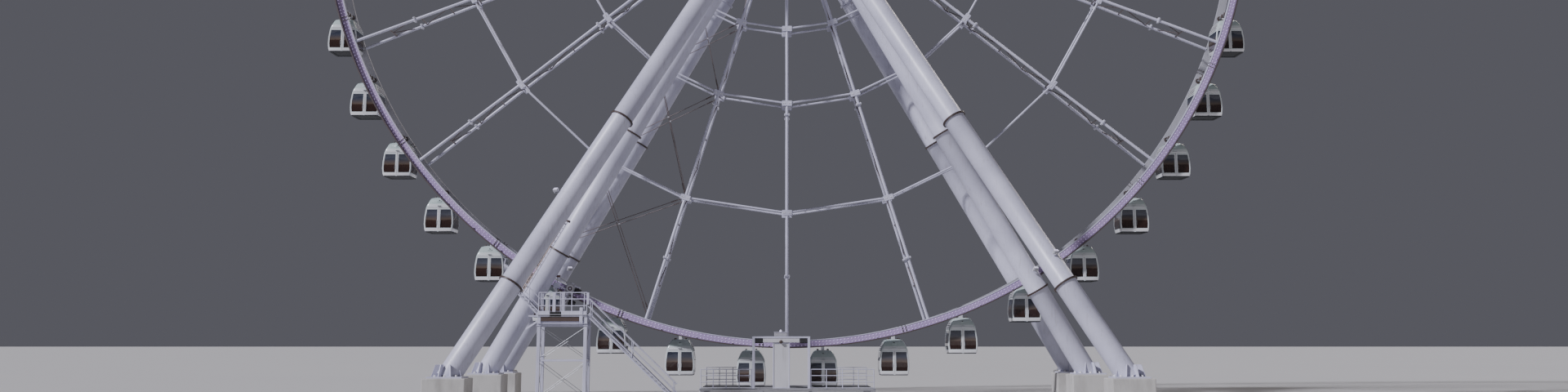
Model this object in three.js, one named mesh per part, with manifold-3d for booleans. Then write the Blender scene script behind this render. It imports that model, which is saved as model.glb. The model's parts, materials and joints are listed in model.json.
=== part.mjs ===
// Observation wheel with 42 closed cabins, modelled at 1:2 of its real size.
// Millimetres, +Z up. The origin is on the ground under the hub, X runs across
// the wheel and Y runs along its axle. The boarding side looks towards -Y.

import * as THREE from 'three';
import { mergeVertices } from 'three/addons/utils/BufferGeometryUtils.js';
import Module from 'manifold-3d';

const wasm = await Module();
wasm.setup();

// M is the length of one real metre in this 1:2 model, in millimetres.
const M = 500;
const GAP = 0.3;

// The wheel.
const HUB_HEIGHT = 31.5 * M;
const SPOKES = 21;
const CABINS = 2 * SPOKES;
const SPOKE_PITCH = (2 * Math.PI) / SPOKES;
const RIM_RADIUS = 28.3 * M;
const RIM_DEPTH = 0.45 * M;
const RIM_WIDTH = 0.24 * M;
const RIM_OFFSET = 1.26 * M;
const RIM_SIDES = 84;
const RIM_INSIDE = RIM_OFFSET - RIM_WIDTH / 2;

// A running rail for the drive tyres stands forward from the front rim's outer edge.
const RAIL_PLATE = 0.065 * M;
const RAIL_REACH = 0.25 * M;

// The hub and the axle.
const AXLE_RADIUS = 0.55 * M;
const AXLE_SIDES = 24;
const AXLE_END = 3.3 * M;
const HEAD_RADIUS = 1.05 * M;
const HEAD_INNER = 1.75 * M;
const HEAD_OUTER = 3.25 * M;
const HUB_BARREL = 0.95 * M;
const HUB_END = 1.25 * M;
const HUB_FLANGE = 1.9 * M;
const HUB_FLANGE_INNER = 0.68 * M;
const HUB_FLANGE_OUTER = 1.08 * M;

// A spoke is a ladder frame: a front and a rear chord joined by rungs. The chords
// are parallel as far as the outer strut circle and then spread to the rims.
const CHORD = 0.18 * M;
const CHORD_OFFSET = 0.88 * M;
const CHORD_SPREAD = 1.2 * M;
const SPREAD_FROM = 20.6 * M;
const RUNG = 0.1 * M;
const HUB_RUNG = 0.3 * M;
const RUNGS = [5.7, 9.4, 14.0, 20.6, 26.0].map((r) => r * M);
const STRUT = 0.12 * M;
const STRUT_CIRCLES = [9.4, 14.0, 20.6].map((r) => r * M);
const SPOKE_GROUPS = [4, 3, 4, 3, 4, 3];

// A cabin hangs below its pivot, which lies half-way between a spoke and the
// middle of the gap between two spokes. Heights are taken down from the pivot.
const CABIN_TOP = 0.45 * M;
const CABIN_SHOULDER = 0.98 * M;
const CABIN_WAIST = 2.0 * M;
const CABIN_FLOOR = 2.5 * M;
const CABIN_TOP_HALF = 0.52 * M;
const CABIN_SHOULDER_HALF = 0.84 * M;
const CABIN_WAIST_HALF = 0.89 * M;
const CABIN_FLOOR_HALF = 0.8 * M;
const CABIN_DEPTH_HALF = 0.93 * M;
const CABIN_WALL = 0.06 * M;
const CABIN_FLOOR_THICK = 0.12 * M;
const WINDOW_TOP = 1.06 * M;
const WINDOW_BOTTOM = 2.24 * M;
const DOOR_HALF = 0.74 * M;
const SIDE_WINDOW_HALF = 0.72 * M;
const SIDE_WINDOW_TOP = 1.1 * M;
const SIDE_WINDOW_BOTTOM = 1.9 * M;
const PIVOT_BAR = 0.16 * M;
const HANGER_HALF = 0.34 * M;

// The legs run down from the axle heads. Inner legs stand in a plane beside the
// wheel, and outer legs splay away from it. Heights are taken down from the hub.
const LEG_RADIUS = 0.6 * M;
const LEG_SIDES = 10;
const LEG_PLANE = 2.5 * M;
const FLANGE_RADIUS = 0.7 * M;
const FLANGE_THICK = 0.08 * M;
const STUB_DROP = 7.0 * M;
const UPPER_RING_DROP = 16.0 * M;
const INNER_LEFT_RING_DROP = 23.0 * M;
const LOWER_RING_DROP = 25.2 * M;
const FOOT_X = 18.2 * M;
const FOOT_SPLAY = 13.8 * M;
const REAR_OUTER_FOOT_X = 20.3 * M;
const PLINTH_SIZE = 2.2 * M;
const PLINTH_TOP = 1.5 * M;
const BASE_PLATE = 1.8 * M;
const BASE_PLATE_THICK = 0.1 * M;

// The two drive tyres squeeze the running rail between them.
const TYRE_RADIUS = 0.33 * M;
const TYRE_BACK = -1.42 * M;
const TYRE_FRONT = -1.62 * M;
const TYRE_SHAFT = 0.05 * M;
const TYRE_ANGLE = (-26.8 * Math.PI) / 180;
const TYRE_SIDES = 16;
const ARM_BACK = -1.7 * M;
const ARM_FRONT = -1.86 * M;
const ARM_HEIGHT = 0.2 * M;

// The boarding platform under the wheel, with a portal on its front edge.
const DECK_TOP = 0.72 * M;
const DECK_THICK = 0.14 * M;
const DECK_HALF_LENGTH = 5.0 * M;
const DECK_INNER = 1.05 * M;
const DECK_OUTER = 3.9 * M;
const SLEEPER_TOP = 0.34 * M;
const SLEEPER_WIDTH = 0.3 * M;
const PORTAL_X = -0.35 * M;
const PORTAL_HALF = 1.65 * M;
const PORTAL_TOP = 3.63 * M;
const PORTAL_BEAM = 0.34 * M;
const PORTAL_DEPTH = 0.3 * M;
const RAIL = 0.06 * M;
const RAIL_HEIGHT = 1.1 * M;
const TWO_RAILS = [0.5, 1];
const THREE_RAILS = [0.33, 0.67, 1];

// The drive platform stands beside the front left leg.
const DRIVE_LEFT = -14.07 * M;
const DRIVE_RIGHT = -11.25 * M;
const DRIVE_FRONT = -5.2 * M;
const DRIVE_BACK = -3.35 * M;
const DRIVE_TOP = 4.96 * M;
const DRIVE_DECK = 0.24 * M;
const DRIVE_BEAM_TOP = 4.45 * M;
const DRIVE_POST = 0.2 * M;
const BRACKET_REACH = 1.2 * M;
const STAIR_STEPS = 22;
const STAIR_TREAD = 0.24 * M;
const STAIR_WIDTH = 0.9 * M;
const CLIMB_X = -15.13 * M;
const CLIMB_TOP = 6.02 * M;
const CLIMB_STEPS = 5;
const CLIMB_POSTS = [0.1, 0.92];
const CLIMB_RAIL_RISE = 0.9 * M;
const STRINGER = 0.16 * M;

const Y_AXIS = new THREE.Vector3(0, 1, 0);
const Z_AXIS = new THREE.Vector3(0, 0, 1);

// A closed mesh becomes a solid once its shared corners are merged, triangles
// with no area are gone and the faces point out.
function solidOf(geometry) {
  const bare = geometry.clone();
  bare.deleteAttribute('normal');
  bare.deleteAttribute('uv');
  const merged = mergeVertices(bare, 0.001);
  const corners = Float32Array.from(merged.attributes.position.array);
  const index = merged.index.array;
  const triangles = [];
  for (let i = 0; i < index.length; i += 3) {
    const [a, b, c] = [index[i], index[i + 1], index[i + 2]];
    if (a !== b && b !== c && c !== a) triangles.push(a, b, c);
  }
  if (signedVolume(corners, triangles) < 0) triangles.reverse();
  return new wasm.Manifold(
    new wasm.Mesh({ numProp: 3, vertProperties: corners, triVerts: Uint32Array.from(triangles) }),
  );
}

function signedVolume(corners, triangles) {
  const point = (i) => new THREE.Vector3().fromArray(corners, 3 * i);
  let total = 0;
  for (let i = 0; i < triangles.length; i += 3) {
    const [a, b, c] = [point(triangles[i]), point(triangles[i + 1]), point(triangles[i + 2])];
    total += a.dot(b.cross(c)) / 6;
  }
  return total;
}

function geometryOf(solid) {
  const mesh = solid.getMesh();
  const geometry = new THREE.BufferGeometry();
  geometry.setAttribute('position', new THREE.Float32BufferAttribute(mesh.vertProperties, 3));
  geometry.setIndex(Array.from(mesh.triVerts));
  geometry.computeVertexNormals();
  return geometry;
}

function join(solids) {
  return solids.reduce((whole, next) => whole.add(next));
}

function box(x0, x1, y0, y1, z0, z1) {
  const geometry = new THREE.BoxGeometry(x1 - x0, y1 - y0, z1 - z0);
  geometry.translate((x0 + x1) / 2, (y0 + y1) / 2, (z0 + z1) / 2);
  return solidOf(geometry);
}

// A straight bar of rectangular section from one point to another. One side of
// the section is kept square to the given direction.
function bar(from, to, width, height, square = Y_AXIS) {
  const along = to.clone().sub(from);
  const length = along.length();
  along.normalize();
  const side = square.clone().addScaledVector(along, -square.dot(along)).normalize();
  const up = along.clone().cross(side);
  const geometry = new THREE.BoxGeometry(length, width, height);
  geometry.applyMatrix4(new THREE.Matrix4().makeBasis(along, side, up));
  const middle = from.clone().add(to).multiplyScalar(0.5);
  geometry.translate(middle.x, middle.y, middle.z);
  return solidOf(geometry);
}

// An outline of [x, z] points drawn out along Y.
function slabAlongY(outline, y0, y1) {
  const geometry = new THREE.ExtrudeGeometry(shapeOf(outline), { depth: y1 - y0, bevelEnabled: false });
  geometry.rotateX(Math.PI / 2);
  geometry.translate(0, y1, 0);
  return solidOf(geometry);
}

function shapeOf(outline) {
  const points = outline.map(([x, y]) => new THREE.Vector2(x, y));
  if (THREE.ShapeUtils.isClockWise(points)) points.reverse();
  return new THREE.Shape(points);
}

// A profile of [radius, along] points turned about the Y axis.
function turned(profile, sides, phase = 0) {
  const points = profile.map(([r, y]) => new THREE.Vector2(r, y));
  return new THREE.LatheGeometry(points, sides, phase);
}

function rod(radius, y0, y1, sides) {
  return solidOf(turned([[0, y0], [radius, y0], [radius, y1], [0, y1]], sides));
}

// The outward direction of a place on the wheel, its angle measured from
// straight down towards +X.
function outward(angle) {
  return new THREE.Vector3(Math.sin(angle), 0, -Math.cos(angle));
}

function onWheel(angle, radius, y = 0) {
  return outward(angle).multiplyScalar(radius).add(new THREE.Vector3(0, y, HUB_HEIGHT));
}

// A hoop about the axle with flat sides, its radii measured to the flats. One
// flat faces straight down.
function hoop(section, sides) {
  const corners = section.map(([r, y]) => [r / Math.cos(Math.PI / sides), y]);
  const ring = solidOf(turned([...corners, corners[0]], sides, Math.PI + Math.PI / sides));
  return ring.translate([0, 0, HUB_HEIGHT]);
}

function rimRear() {
  const [inner, outer] = [RIM_RADIUS - RIM_DEPTH / 2, RIM_RADIUS + RIM_DEPTH / 2];
  const back = RIM_OFFSET + RIM_WIDTH / 2;
  return hoop([[inner, RIM_INSIDE], [outer, RIM_INSIDE], [outer, back], [inner, back]], RIM_SIDES);
}

function rimFront() {
  const [inner, outer] = [RIM_RADIUS - RIM_DEPTH / 2, RIM_RADIUS + RIM_DEPTH / 2];
  const face = -RIM_OFFSET - RIM_WIDTH / 2;
  return hoop([
    [inner, face],
    [outer - RAIL_PLATE, face],
    [outer - RAIL_PLATE, face - RAIL_REACH],
    [outer, face - RAIL_REACH],
    [outer, -RIM_INSIDE],
    [inner, -RIM_INSIDE],
  ], RIM_SIDES);
}

function hub() {
  const half = [
    [AXLE_RADIUS + GAP, HUB_END],
    [HUB_BARREL, HUB_END],
    [HUB_BARREL, HUB_FLANGE_OUTER],
    [HUB_FLANGE, HUB_FLANGE_OUTER],
    [HUB_FLANGE, HUB_FLANGE_INNER],
    [HUB_BARREL, HUB_FLANGE_INNER],
  ];
  return hoop([...half, ...half.map(([r, y]) => [r, -y]).reverse()], SPOKES);
}

// How far a chord's centre line lies from the middle of the wheel.
function chordOffset(radius) {
  const end = RIM_RADIUS - RIM_DEPTH / 2;
  const share = Math.max(0, (radius - SPREAD_FROM) / (end - SPREAD_FROM));
  return CHORD_OFFSET + share * (CHORD_SPREAD - CHORD_OFFSET);
}

function spoke(angle) {
  const start = HUB_FLANGE + GAP;
  const end = RIM_RADIUS - RIM_DEPTH / 2 - GAP;
  const lastRung = RUNGS[RUNGS.length - 1];
  const outside = (r) => chordOffset(r) + CHORD / 2;
  const inside = (r) => chordOffset(r) - CHORD / 2;
  const half = [
    [outside(start), start],
    [outside(SPREAD_FROM), SPREAD_FROM],
    [outside(end), end],
    [inside(end), end],
    [inside(lastRung), lastRung + RUNG / 2],
  ];
  const frame = shapeOf([...half, ...half.map(([y, r]) => [-y, r]).reverse()]);
  let from = start + HUB_RUNG;
  for (const rung of RUNGS) {
    const to = rung - RUNG / 2;
    const [a, b] = [inside(from), inside(to)];
    frame.holes.push(shapeOf([[-a, from], [a, from], [b, to], [-b, to]]));
    from = rung + RUNG / 2;
  }
  const geometry = new THREE.ExtrudeGeometry(frame, { depth: CHORD, bevelEnabled: false });
  geometry.translate(0, 0, -CHORD / 2);
  const radial = outward(angle);
  geometry.applyMatrix4(new THREE.Matrix4().makeBasis(Y_AXIS, radial, Y_AXIS.clone().cross(radial)));
  geometry.translate(0, 0, HUB_HEIGHT);
  return solidOf(geometry);
}

// The front and rear struts from one spoke to the next. A strut whose far end
// meets a spoke of the next group stops just short of it.
function struts(angle, stopShort) {
  const solids = [];
  const tilt = SPOKE_PITCH / 2;
  const short = (CHORD / 2 + GAP + (STRUT / 2) * Math.tan(tilt)) / Math.cos(tilt);
  for (const radius of STRUT_CIRCLES) {
    for (const y of [-CHORD_OFFSET, CHORD_OFFSET]) {
      const from = onWheel(angle, radius, y);
      const to = onWheel(angle + SPOKE_PITCH, radius, y);
      if (stopShort) to.addScaledVector(to.clone().sub(from).normalize(), -short);
      solids.push(bar(from, to, STRUT, STRUT));
    }
  }
  return solids;
}

// A group of neighbouring spokes, counted from straight down towards +X.
function spokeGroup(first, last) {
  const solids = [];
  for (let i = first; i <= last; i++) {
    solids.push(spoke(i * SPOKE_PITCH));
    solids.push(...struts(i * SPOKE_PITCH, i === last));
  }
  return join(solids);
}

// One cabin with its pivot at the origin: a shell with a floor, a doorway front
// and rear, a window each side, and a hanger whose bar reaches the two rims.
function cabin() {
  const right = [
    [CABIN_TOP_HALF, -CABIN_TOP],
    [CABIN_SHOULDER_HALF, -CABIN_SHOULDER],
    [CABIN_WAIST_HALF, -CABIN_WAIST],
    [CABIN_FLOOR_HALF, -CABIN_FLOOR],
  ];
  const inner = [
    [CABIN_TOP_HALF - CABIN_WALL, -CABIN_TOP - CABIN_WALL],
    [CABIN_SHOULDER_HALF - CABIN_WALL, -CABIN_SHOULDER],
    [CABIN_FLOOR_HALF - CABIN_WALL, -CABIN_FLOOR + CABIN_FLOOR_THICK],
  ];
  const closed = (points) => [...points, ...points.map(([x, z]) => [-x, z]).reverse()];
  const shell = slabAlongY(closed(right), -CABIN_DEPTH_HALF, CABIN_DEPTH_HALF);
  const room = CABIN_DEPTH_HALF - CABIN_WALL;
  const hollow = slabAlongY(closed(inner), -room, room);
  const through = CABIN_DEPTH_HALF + CABIN_WALL;
  const doorways = box(-DOOR_HALF, DOOR_HALF, -through, through, -WINDOW_BOTTOM, -WINDOW_TOP);
  const across = CABIN_WAIST_HALF + CABIN_WALL;
  const windows = box(
    -across, across, -SIDE_WINDOW_HALF, SIDE_WINDOW_HALF, -SIDE_WINDOW_BOTTOM, -SIDE_WINDOW_TOP,
  );
  return shell.subtract(hollow).subtract(doorways).subtract(windows).add(hanger());
}

// The pivot bar and its pedestal, a T in side view, standing on the roof.
function hanger() {
  const reach = RIM_INSIDE - GAP;
  const half = PIVOT_BAR / 2;
  const foot = -CABIN_TOP - CABIN_WALL / 2;
  const bearing = box(-half, half, -reach, reach, -half, half);
  return bearing.add(box(-half, half, -HANGER_HALF, HANGER_HALF, foot, 0));
}

// Where a leg of the given side and splay would meet the hub line and the ground.
function legLine(side, front, outer) {
  const y = front ? -LEG_PLANE : LEG_PLANE;
  const splay = front ? -FOOT_SPLAY : FOOT_SPLAY;
  const footX = outer && !front ? REAR_OUTER_FOOT_X : FOOT_X;
  return {
    top: new THREE.Vector3(0, y, HUB_HEIGHT),
    foot: new THREE.Vector3(side * footX, outer ? splay : y, 0),
  };
}

function alongLeg(line, drop) {
  return line.top.clone().lerp(line.foot, drop / HUB_HEIGHT);
}

// A profile turned about a leg's own line, starting at the given drop.
function turnedOnLeg(line, drop, profile) {
  const direction = line.foot.clone().sub(line.top).normalize();
  const geometry = turned(profile, LEG_SIDES);
  geometry.applyQuaternion(new THREE.Quaternion().setFromUnitVectors(Y_AXIS, direction));
  const start = alongLeg(line, drop);
  geometry.translate(start.x, start.y, start.z);
  return solidOf(geometry);
}

function legStub(line) {
  const length = alongLeg(line, STUB_DROP).distanceTo(line.top);
  return turnedOnLeg(line, 0, [
    [0, 0],
    [LEG_RADIUS, 0],
    [LEG_RADIUS, length - FLANGE_THICK],
    [FLANGE_RADIUS, length - FLANGE_THICK],
    [FLANGE_RADIUS, length],
    [0, length],
  ]);
}

// A leg's tube from a drop down into its plinth, with a thick ring at each
// flanged joint.
function legTube(line, start, head, joints) {
  const slope = line.top.distanceTo(line.foot) / HUB_HEIGHT;
  const end = (HUB_HEIGHT - start - PLINTH_TOP / 2) * slope;
  const profile = [...head];
  for (const drop of joints) {
    const at = (drop - start) * slope;
    profile.push([LEG_RADIUS, at - FLANGE_THICK], [FLANGE_RADIUS, at - FLANGE_THICK]);
    profile.push([FLANGE_RADIUS, at + FLANGE_THICK], [LEG_RADIUS, at + FLANGE_THICK]);
  }
  profile.push([LEG_RADIUS, end], [0, end]);
  return turnedOnLeg(line, start, profile);
}

// The plinth under a leg and the base plate on it.
function legFoot(line) {
  const { x, y } = alongLeg(line, HUB_HEIGHT - PLINTH_TOP);
  const square = (size, z0, z1) => box(x - size / 2, x + size / 2, y - size / 2, y + size / 2, z0, z1);
  const plate = square(BASE_PLATE, PLINTH_TOP - BASE_PLATE_THICK, PLINTH_TOP + BASE_PLATE_THICK);
  return square(PLINTH_SIZE, 0, PLINTH_TOP).add(plate);
}

// An outer leg, bolted to its stub on the axle head.
function outerLeg(side, front) {
  const line = legLine(side, front, true);
  const flange = [[0, GAP], [FLANGE_RADIUS, GAP], [FLANGE_RADIUS, FLANGE_THICK], [LEG_RADIUS, FLANGE_THICK]];
  return legTube(line, STUB_DROP, flange, [UPPER_RING_DROP, LOWER_RING_DROP]).add(legFoot(line));
}

// An inner leg, one with the axle head that it carries.
function innerLeg(side, front) {
  const line = legLine(side, front, false);
  const lower = side < 0 ? INNER_LEFT_RING_DROP : LOWER_RING_DROP;
  const joints = [STUB_DROP, UPPER_RING_DROP, lower];
  return legTube(line, 0, [[0, 0], [LEG_RADIUS, 0]], joints).add(legFoot(line));
}

function axleAndInnerLegs() {
  const solids = [rod(AXLE_RADIUS, -AXLE_END, AXLE_END, AXLE_SIDES).translate([0, 0, HUB_HEIGHT])];
  for (const front of [true, false]) {
    const [y0, y1] = front ? [-HEAD_OUTER, -HEAD_INNER] : [HEAD_INNER, HEAD_OUTER];
    solids.push(rod(HEAD_RADIUS, y0, y1, AXLE_SIDES).translate([0, 0, HUB_HEIGHT]));
    for (const side of [-1, 1]) {
      solids.push(innerLeg(side, front));
      solids.push(legStub(legLine(side, front, true)));
    }
  }
  return join(solids);
}

const RAIL_INNER = RIM_RADIUS + RIM_DEPTH / 2 - RAIL_PLATE;
const INNER_TYRE = RAIL_INNER - TYRE_RADIUS - GAP;
const RAIL_CORNER = (RIM_RADIUS + RIM_DEPTH / 2) / Math.cos(Math.PI / RIM_SIDES);
const OUTER_TYRE = RAIL_CORNER + TYRE_RADIUS + GAP;

function tyre(radius) {
  const end = ARM_BACK + GAP;
  const solid = solidOf(turned([
    [0, TYRE_BACK],
    [TYRE_RADIUS, TYRE_BACK],
    [TYRE_RADIUS, TYRE_FRONT],
    [TYRE_SHAFT, TYRE_FRONT],
    [TYRE_SHAFT, end],
    [0, end],
  ], TYRE_SIDES));
  return solid.translate(onWheel(TYRE_ANGLE, radius).toArray());
}

// Posts and rails along a straight edge, the rails at shares of the posts' height.
function railing(from, to, bays, shares = TWO_RAILS) {
  const up = (point, height) => point.clone().addScaledVector(Z_AXIS, height);
  const solids = [];
  for (let i = 0; i <= bays; i++) {
    const foot = from.clone().lerp(to, i / bays);
    solids.push(bar(foot, up(foot, RAIL_HEIGHT), RAIL, RAIL));
  }
  for (const share of shares) {
    const height = RAIL_HEIGHT * share - RAIL / 2;
    solids.push(bar(up(from, height), up(to, height), RAIL, RAIL, Z_AXIS));
  }
  return solids;
}

function boardingPlatform() {
  const solids = [];
  const half = DECK_HALF_LENGTH;
  for (const side of [-1, 1]) {
    const [y0, y1] = side < 0 ? [-DECK_OUTER, -DECK_INNER] : [DECK_INNER, DECK_OUTER];
    solids.push(box(-half, half, y0, y1, DECK_TOP - DECK_THICK, DECK_TOP));
  }
  for (const x of [-half, -half / 3, half / 3, half].map((at) => at - Math.sign(at) * SLEEPER_WIDTH / 2)) {
    const [x0, x1] = [x - SLEEPER_WIDTH / 2, x + SLEEPER_WIDTH / 2];
    solids.push(box(x0, x1, -DECK_OUTER, DECK_OUTER, 0, SLEEPER_TOP));
    for (const y of [-DECK_OUTER, -DECK_INNER - SLEEPER_WIDTH, DECK_INNER, DECK_OUTER - SLEEPER_WIDTH]) {
      solids.push(box(x0, x1, y, y + SLEEPER_WIDTH, 0, DECK_TOP - DECK_THICK / 2));
    }
  }
  return join([...solids, ...portal(), ...platformRailings()]);
}

function portal() {
  const [x0, x1] = [PORTAL_X - PORTAL_HALF, PORTAL_X + PORTAL_HALF];
  const [y0, y1] = [-DECK_OUTER, -DECK_OUTER + PORTAL_DEPTH];
  const foot = DECK_TOP - DECK_THICK / 2;
  const post = PORTAL_DEPTH / 2;
  const panel = PORTAL_DEPTH * 1.6;
  return [
    box(x0, x1, y0, y1, PORTAL_TOP - PORTAL_BEAM, PORTAL_TOP),
    box(x0, x0 + post, y0, y1, foot, PORTAL_TOP),
    box(x1 - post, x1, y0, y1, foot, PORTAL_TOP),
    box(PORTAL_X - panel, PORTAL_X + panel, y0 + post / 2, y1 - post / 2, foot, PORTAL_TOP),
  ];
}

function platformRailings() {
  const z = DECK_TOP - RAIL;
  const inset = DECK_OUTER - RAIL;
  const end = DECK_HALF_LENGTH - RAIL;
  const at = (x, y) => new THREE.Vector3(x, y, z);
  return [
    ...railing(at(-end, -inset), at(PORTAL_X - PORTAL_HALF, -inset), 2),
    ...railing(at(PORTAL_X + PORTAL_HALF, -inset), at(end, -inset), 2),
    ...railing(at(-end, inset), at(-PORTAL_HALF, inset), 2),
    ...railing(at(PORTAL_HALF, inset), at(end, inset), 2),
  ];
}

function drivePlatform() {
  const solids = [box(DRIVE_LEFT, DRIVE_RIGHT, DRIVE_FRONT, DRIVE_BACK, DRIVE_TOP - DRIVE_DECK, DRIVE_TOP)];
  const posts = [DRIVE_LEFT, DRIVE_RIGHT - DRIVE_POST];
  for (const x of posts) {
    for (const y of [DRIVE_FRONT, DRIVE_BACK - DRIVE_POST]) {
      solids.push(box(x, x + DRIVE_POST, y, y + DRIVE_POST, 0, DRIVE_TOP - DRIVE_DECK / 2));
    }
  }
  const beam = DRIVE_BEAM_TOP - DRIVE_POST;
  solids.push(box(DRIVE_LEFT, DRIVE_RIGHT, DRIVE_FRONT, DRIVE_FRONT + DRIVE_POST, beam, DRIVE_BEAM_TOP));
  solids.push(box(DRIVE_LEFT, DRIVE_RIGHT, DRIVE_BACK - DRIVE_POST, DRIVE_BACK, beam, DRIVE_BEAM_TOP));
  const at = (x, y) => new THREE.Vector3(x, y, DRIVE_TOP - RAIL);
  const [left, right] = [DRIVE_LEFT + RAIL, DRIVE_RIGHT - RAIL];
  const climbBack = DRIVE_FRONT + STAIR_WIDTH;
  solids.push(...railing(at(left, DRIVE_FRONT + RAIL), at(right, DRIVE_FRONT + RAIL), 4, THREE_RAILS));
  solids.push(...railing(at(left, climbBack), at(left, DRIVE_BACK - RAIL), 1, THREE_RAILS));
  const bracket = box(
    DRIVE_LEFT - BRACKET_REACH, DRIVE_LEFT + DRIVE_POST,
    DRIVE_BACK - DRIVE_POST, -LEG_PLANE, DRIVE_TOP - DRIVE_DECK, DRIVE_TOP - DRIVE_DECK / 2,
  );
  return join([...solids, bracket.subtract(legClearance()), stair(), ...climb(), ...driveArm()]);
}

// The inner front left leg, grown by the gap that the bracket keeps from it.
function legClearance() {
  const line = legLine(-1, true, false);
  const radius = LEG_RADIUS + GAP / Math.cos(Math.PI / LEG_SIDES);
  const length = line.top.distanceTo(line.foot);
  return turnedOnLeg(line, 0, [[0, 0], [radius, 0], [radius, length], [0, length]]);
}

// A flight of steps running down from the drive platform towards +X.
function stair() {
  const rise = DRIVE_TOP / STAIR_STEPS;
  const outline = [[DRIVE_RIGHT - STAIR_TREAD, DRIVE_TOP - DRIVE_DECK]];
  outline.push([DRIVE_RIGHT - STAIR_TREAD, DRIVE_TOP - DRIVE_DECK / 2]);
  for (let i = 1; i < STAIR_STEPS; i++) {
    const x = DRIVE_RIGHT + (i - 1) * STAIR_TREAD;
    const z = DRIVE_TOP - i * rise;
    if (i > 1) outline.push([x, z]);
    else outline.push([x, DRIVE_TOP - DRIVE_DECK / 2], [x, z]);
    outline.push([x + STAIR_TREAD, z]);
  }
  const end = DRIVE_RIGHT + (STAIR_STEPS - 1) * STAIR_TREAD;
  outline.push([end, 0], [end - 2 * STAIR_TREAD, 0]);
  return slabAlongY(outline.reverse(), DRIVE_FRONT, DRIVE_FRONT + STAIR_WIDTH);
}

// A short flight up from the left end of the drive platform, across the front of
// the inner leg, with a handrail on its front stringer.
function climb() {
  const foot = new THREE.Vector3(DRIVE_LEFT + DRIVE_POST / 2, 0, DRIVE_TOP - DRIVE_DECK / 2);
  const head = new THREE.Vector3(CLIMB_X, 0, CLIMB_TOP);
  const at = (share, y, up = 0) => foot.clone().lerp(head, share).add(new THREE.Vector3(0, y, up));
  const [front, back] = [DRIVE_FRONT + STRINGER / 2, DRIVE_FRONT + STAIR_WIDTH - STRINGER / 2];
  const solids = [front, back].map((y) => bar(at(0, y), at(1, y), STRINGER / 2, STRINGER));
  for (let i = 1; i <= CLIMB_STEPS; i++) {
    const share = i / (CLIMB_STEPS + 1);
    solids.push(bar(at(share, front), at(share, back), RAIL, STRINGER, Z_AXIS));
  }
  for (const share of CLIMB_POSTS) {
    solids.push(bar(at(share, front), at(share, front, CLIMB_RAIL_RISE), RAIL, RAIL));
  }
  const [low, high] = CLIMB_POSTS.map((share) => at(share, front, CLIMB_RAIL_RISE));
  return [...solids, bar(low, high, RAIL, RAIL)];
}

// The arm that carries both tyre shafts, and its post on the drive platform.
function driveArm() {
  const y = (ARM_BACK + ARM_FRONT) / 2;
  const depth = ARM_BACK - ARM_FRONT;
  const from = onWheel(TYRE_ANGLE, INNER_TYRE - TYRE_RADIUS, y);
  const to = onWheel(TYRE_ANGLE, OUTER_TYRE + TYRE_RADIUS, y);
  const middle = from.clone().add(to).multiplyScalar(0.5);
  const post = new THREE.Vector3(middle.x, DRIVE_BACK - DRIVE_POST / 2, DRIVE_TOP - DRIVE_DECK / 2);
  const head = new THREE.Vector3(post.x, post.y - DRIVE_POST / 2, middle.z);
  return [
    bar(from, to, depth, ARM_HEIGHT),
    bar(new THREE.Vector3(middle.x, ARM_FRONT, middle.z), head, DRIVE_POST, DRIVE_POST, Z_AXIS),
    bar(post, new THREE.Vector3(post.x, post.y, middle.z + DRIVE_POST / 2), DRIVE_POST, DRIVE_POST),
  ];
}

function material(colour, roughness, metalness) {
  return new THREE.MeshStandardMaterial({ color: colour, roughness, metalness });
}

const WHITE_STEEL = [0xc9cad2, 0.45, 0.3];
const GREY_STEEL = [0x8f9199, 0.5, 0.4];
const LIT_RIM = [0xb9a6cf, 0.4, 0.2];
const CABIN_SHELL = [0xd3d8d8, 0.35, 0.1];
const DECK_GREY = [0x6f7277, 0.7, 0.2];
const TYRE_BLACK = [0x1c1c1e, 0.85, 0.0];

const wheel = new THREE.Group();

function place(name, solid, look, position = [0, 0, 0]) {
  const mesh = new THREE.Mesh(geometryOf(solid), material(...look));
  mesh.name = name;
  mesh.position.set(...position);
  wheel.add(mesh);
}

function twoDigits(number) {
  return String(number).padStart(2, '0');
}

place('axle_and_inner_legs', axleAndInnerLegs(), WHITE_STEEL);
place('hub', hub(), WHITE_STEEL);
place('rim_front', rimFront(), LIT_RIM);
place('rim_rear', rimRear(), GREY_STEEL);
let nextSpoke = 0;
for (const count of SPOKE_GROUPS) {
  const last = nextSpoke + count - 1;
  const name = `spokes_${twoDigits(nextSpoke + 1)}_to_${twoDigits(last + 1)}`;
  place(name, spokeGroup(nextSpoke, last), WHITE_STEEL);
  nextSpoke += count;
}
for (const front of [true, false]) {
  for (const side of [-1, 1]) {
    const name = `leg_${front ? 'front' : 'rear'}_outer_${side < 0 ? 'left' : 'right'}`;
    place(name, outerLeg(side, front), WHITE_STEEL);
  }
}
place('drive_tyre_inner', tyre(INNER_TYRE), TYRE_BLACK);
place('drive_tyre_outer', tyre(OUTER_TYRE), TYRE_BLACK);
place('drive_platform', drivePlatform(), GREY_STEEL);
place('boarding_platform', boardingPlatform(), DECK_GREY);
const oneCabin = cabin();
for (let i = 0; i < CABINS; i++) {
  const angle = ((i + 0.5) * 2 * Math.PI) / CABINS;
  place(`cabin_${twoDigits(i + 1)}`, oneCabin, CABIN_SHELL, onWheel(angle, RIM_RADIUS).toArray());
}

export default wheel;
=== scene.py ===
"""Looks of a 1:2 observation wheel: paint, glass, bolts, bracing, lamps and decks."""

import json
import math

import bmesh
import bpy
from mathutils import Matrix, Vector


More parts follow.
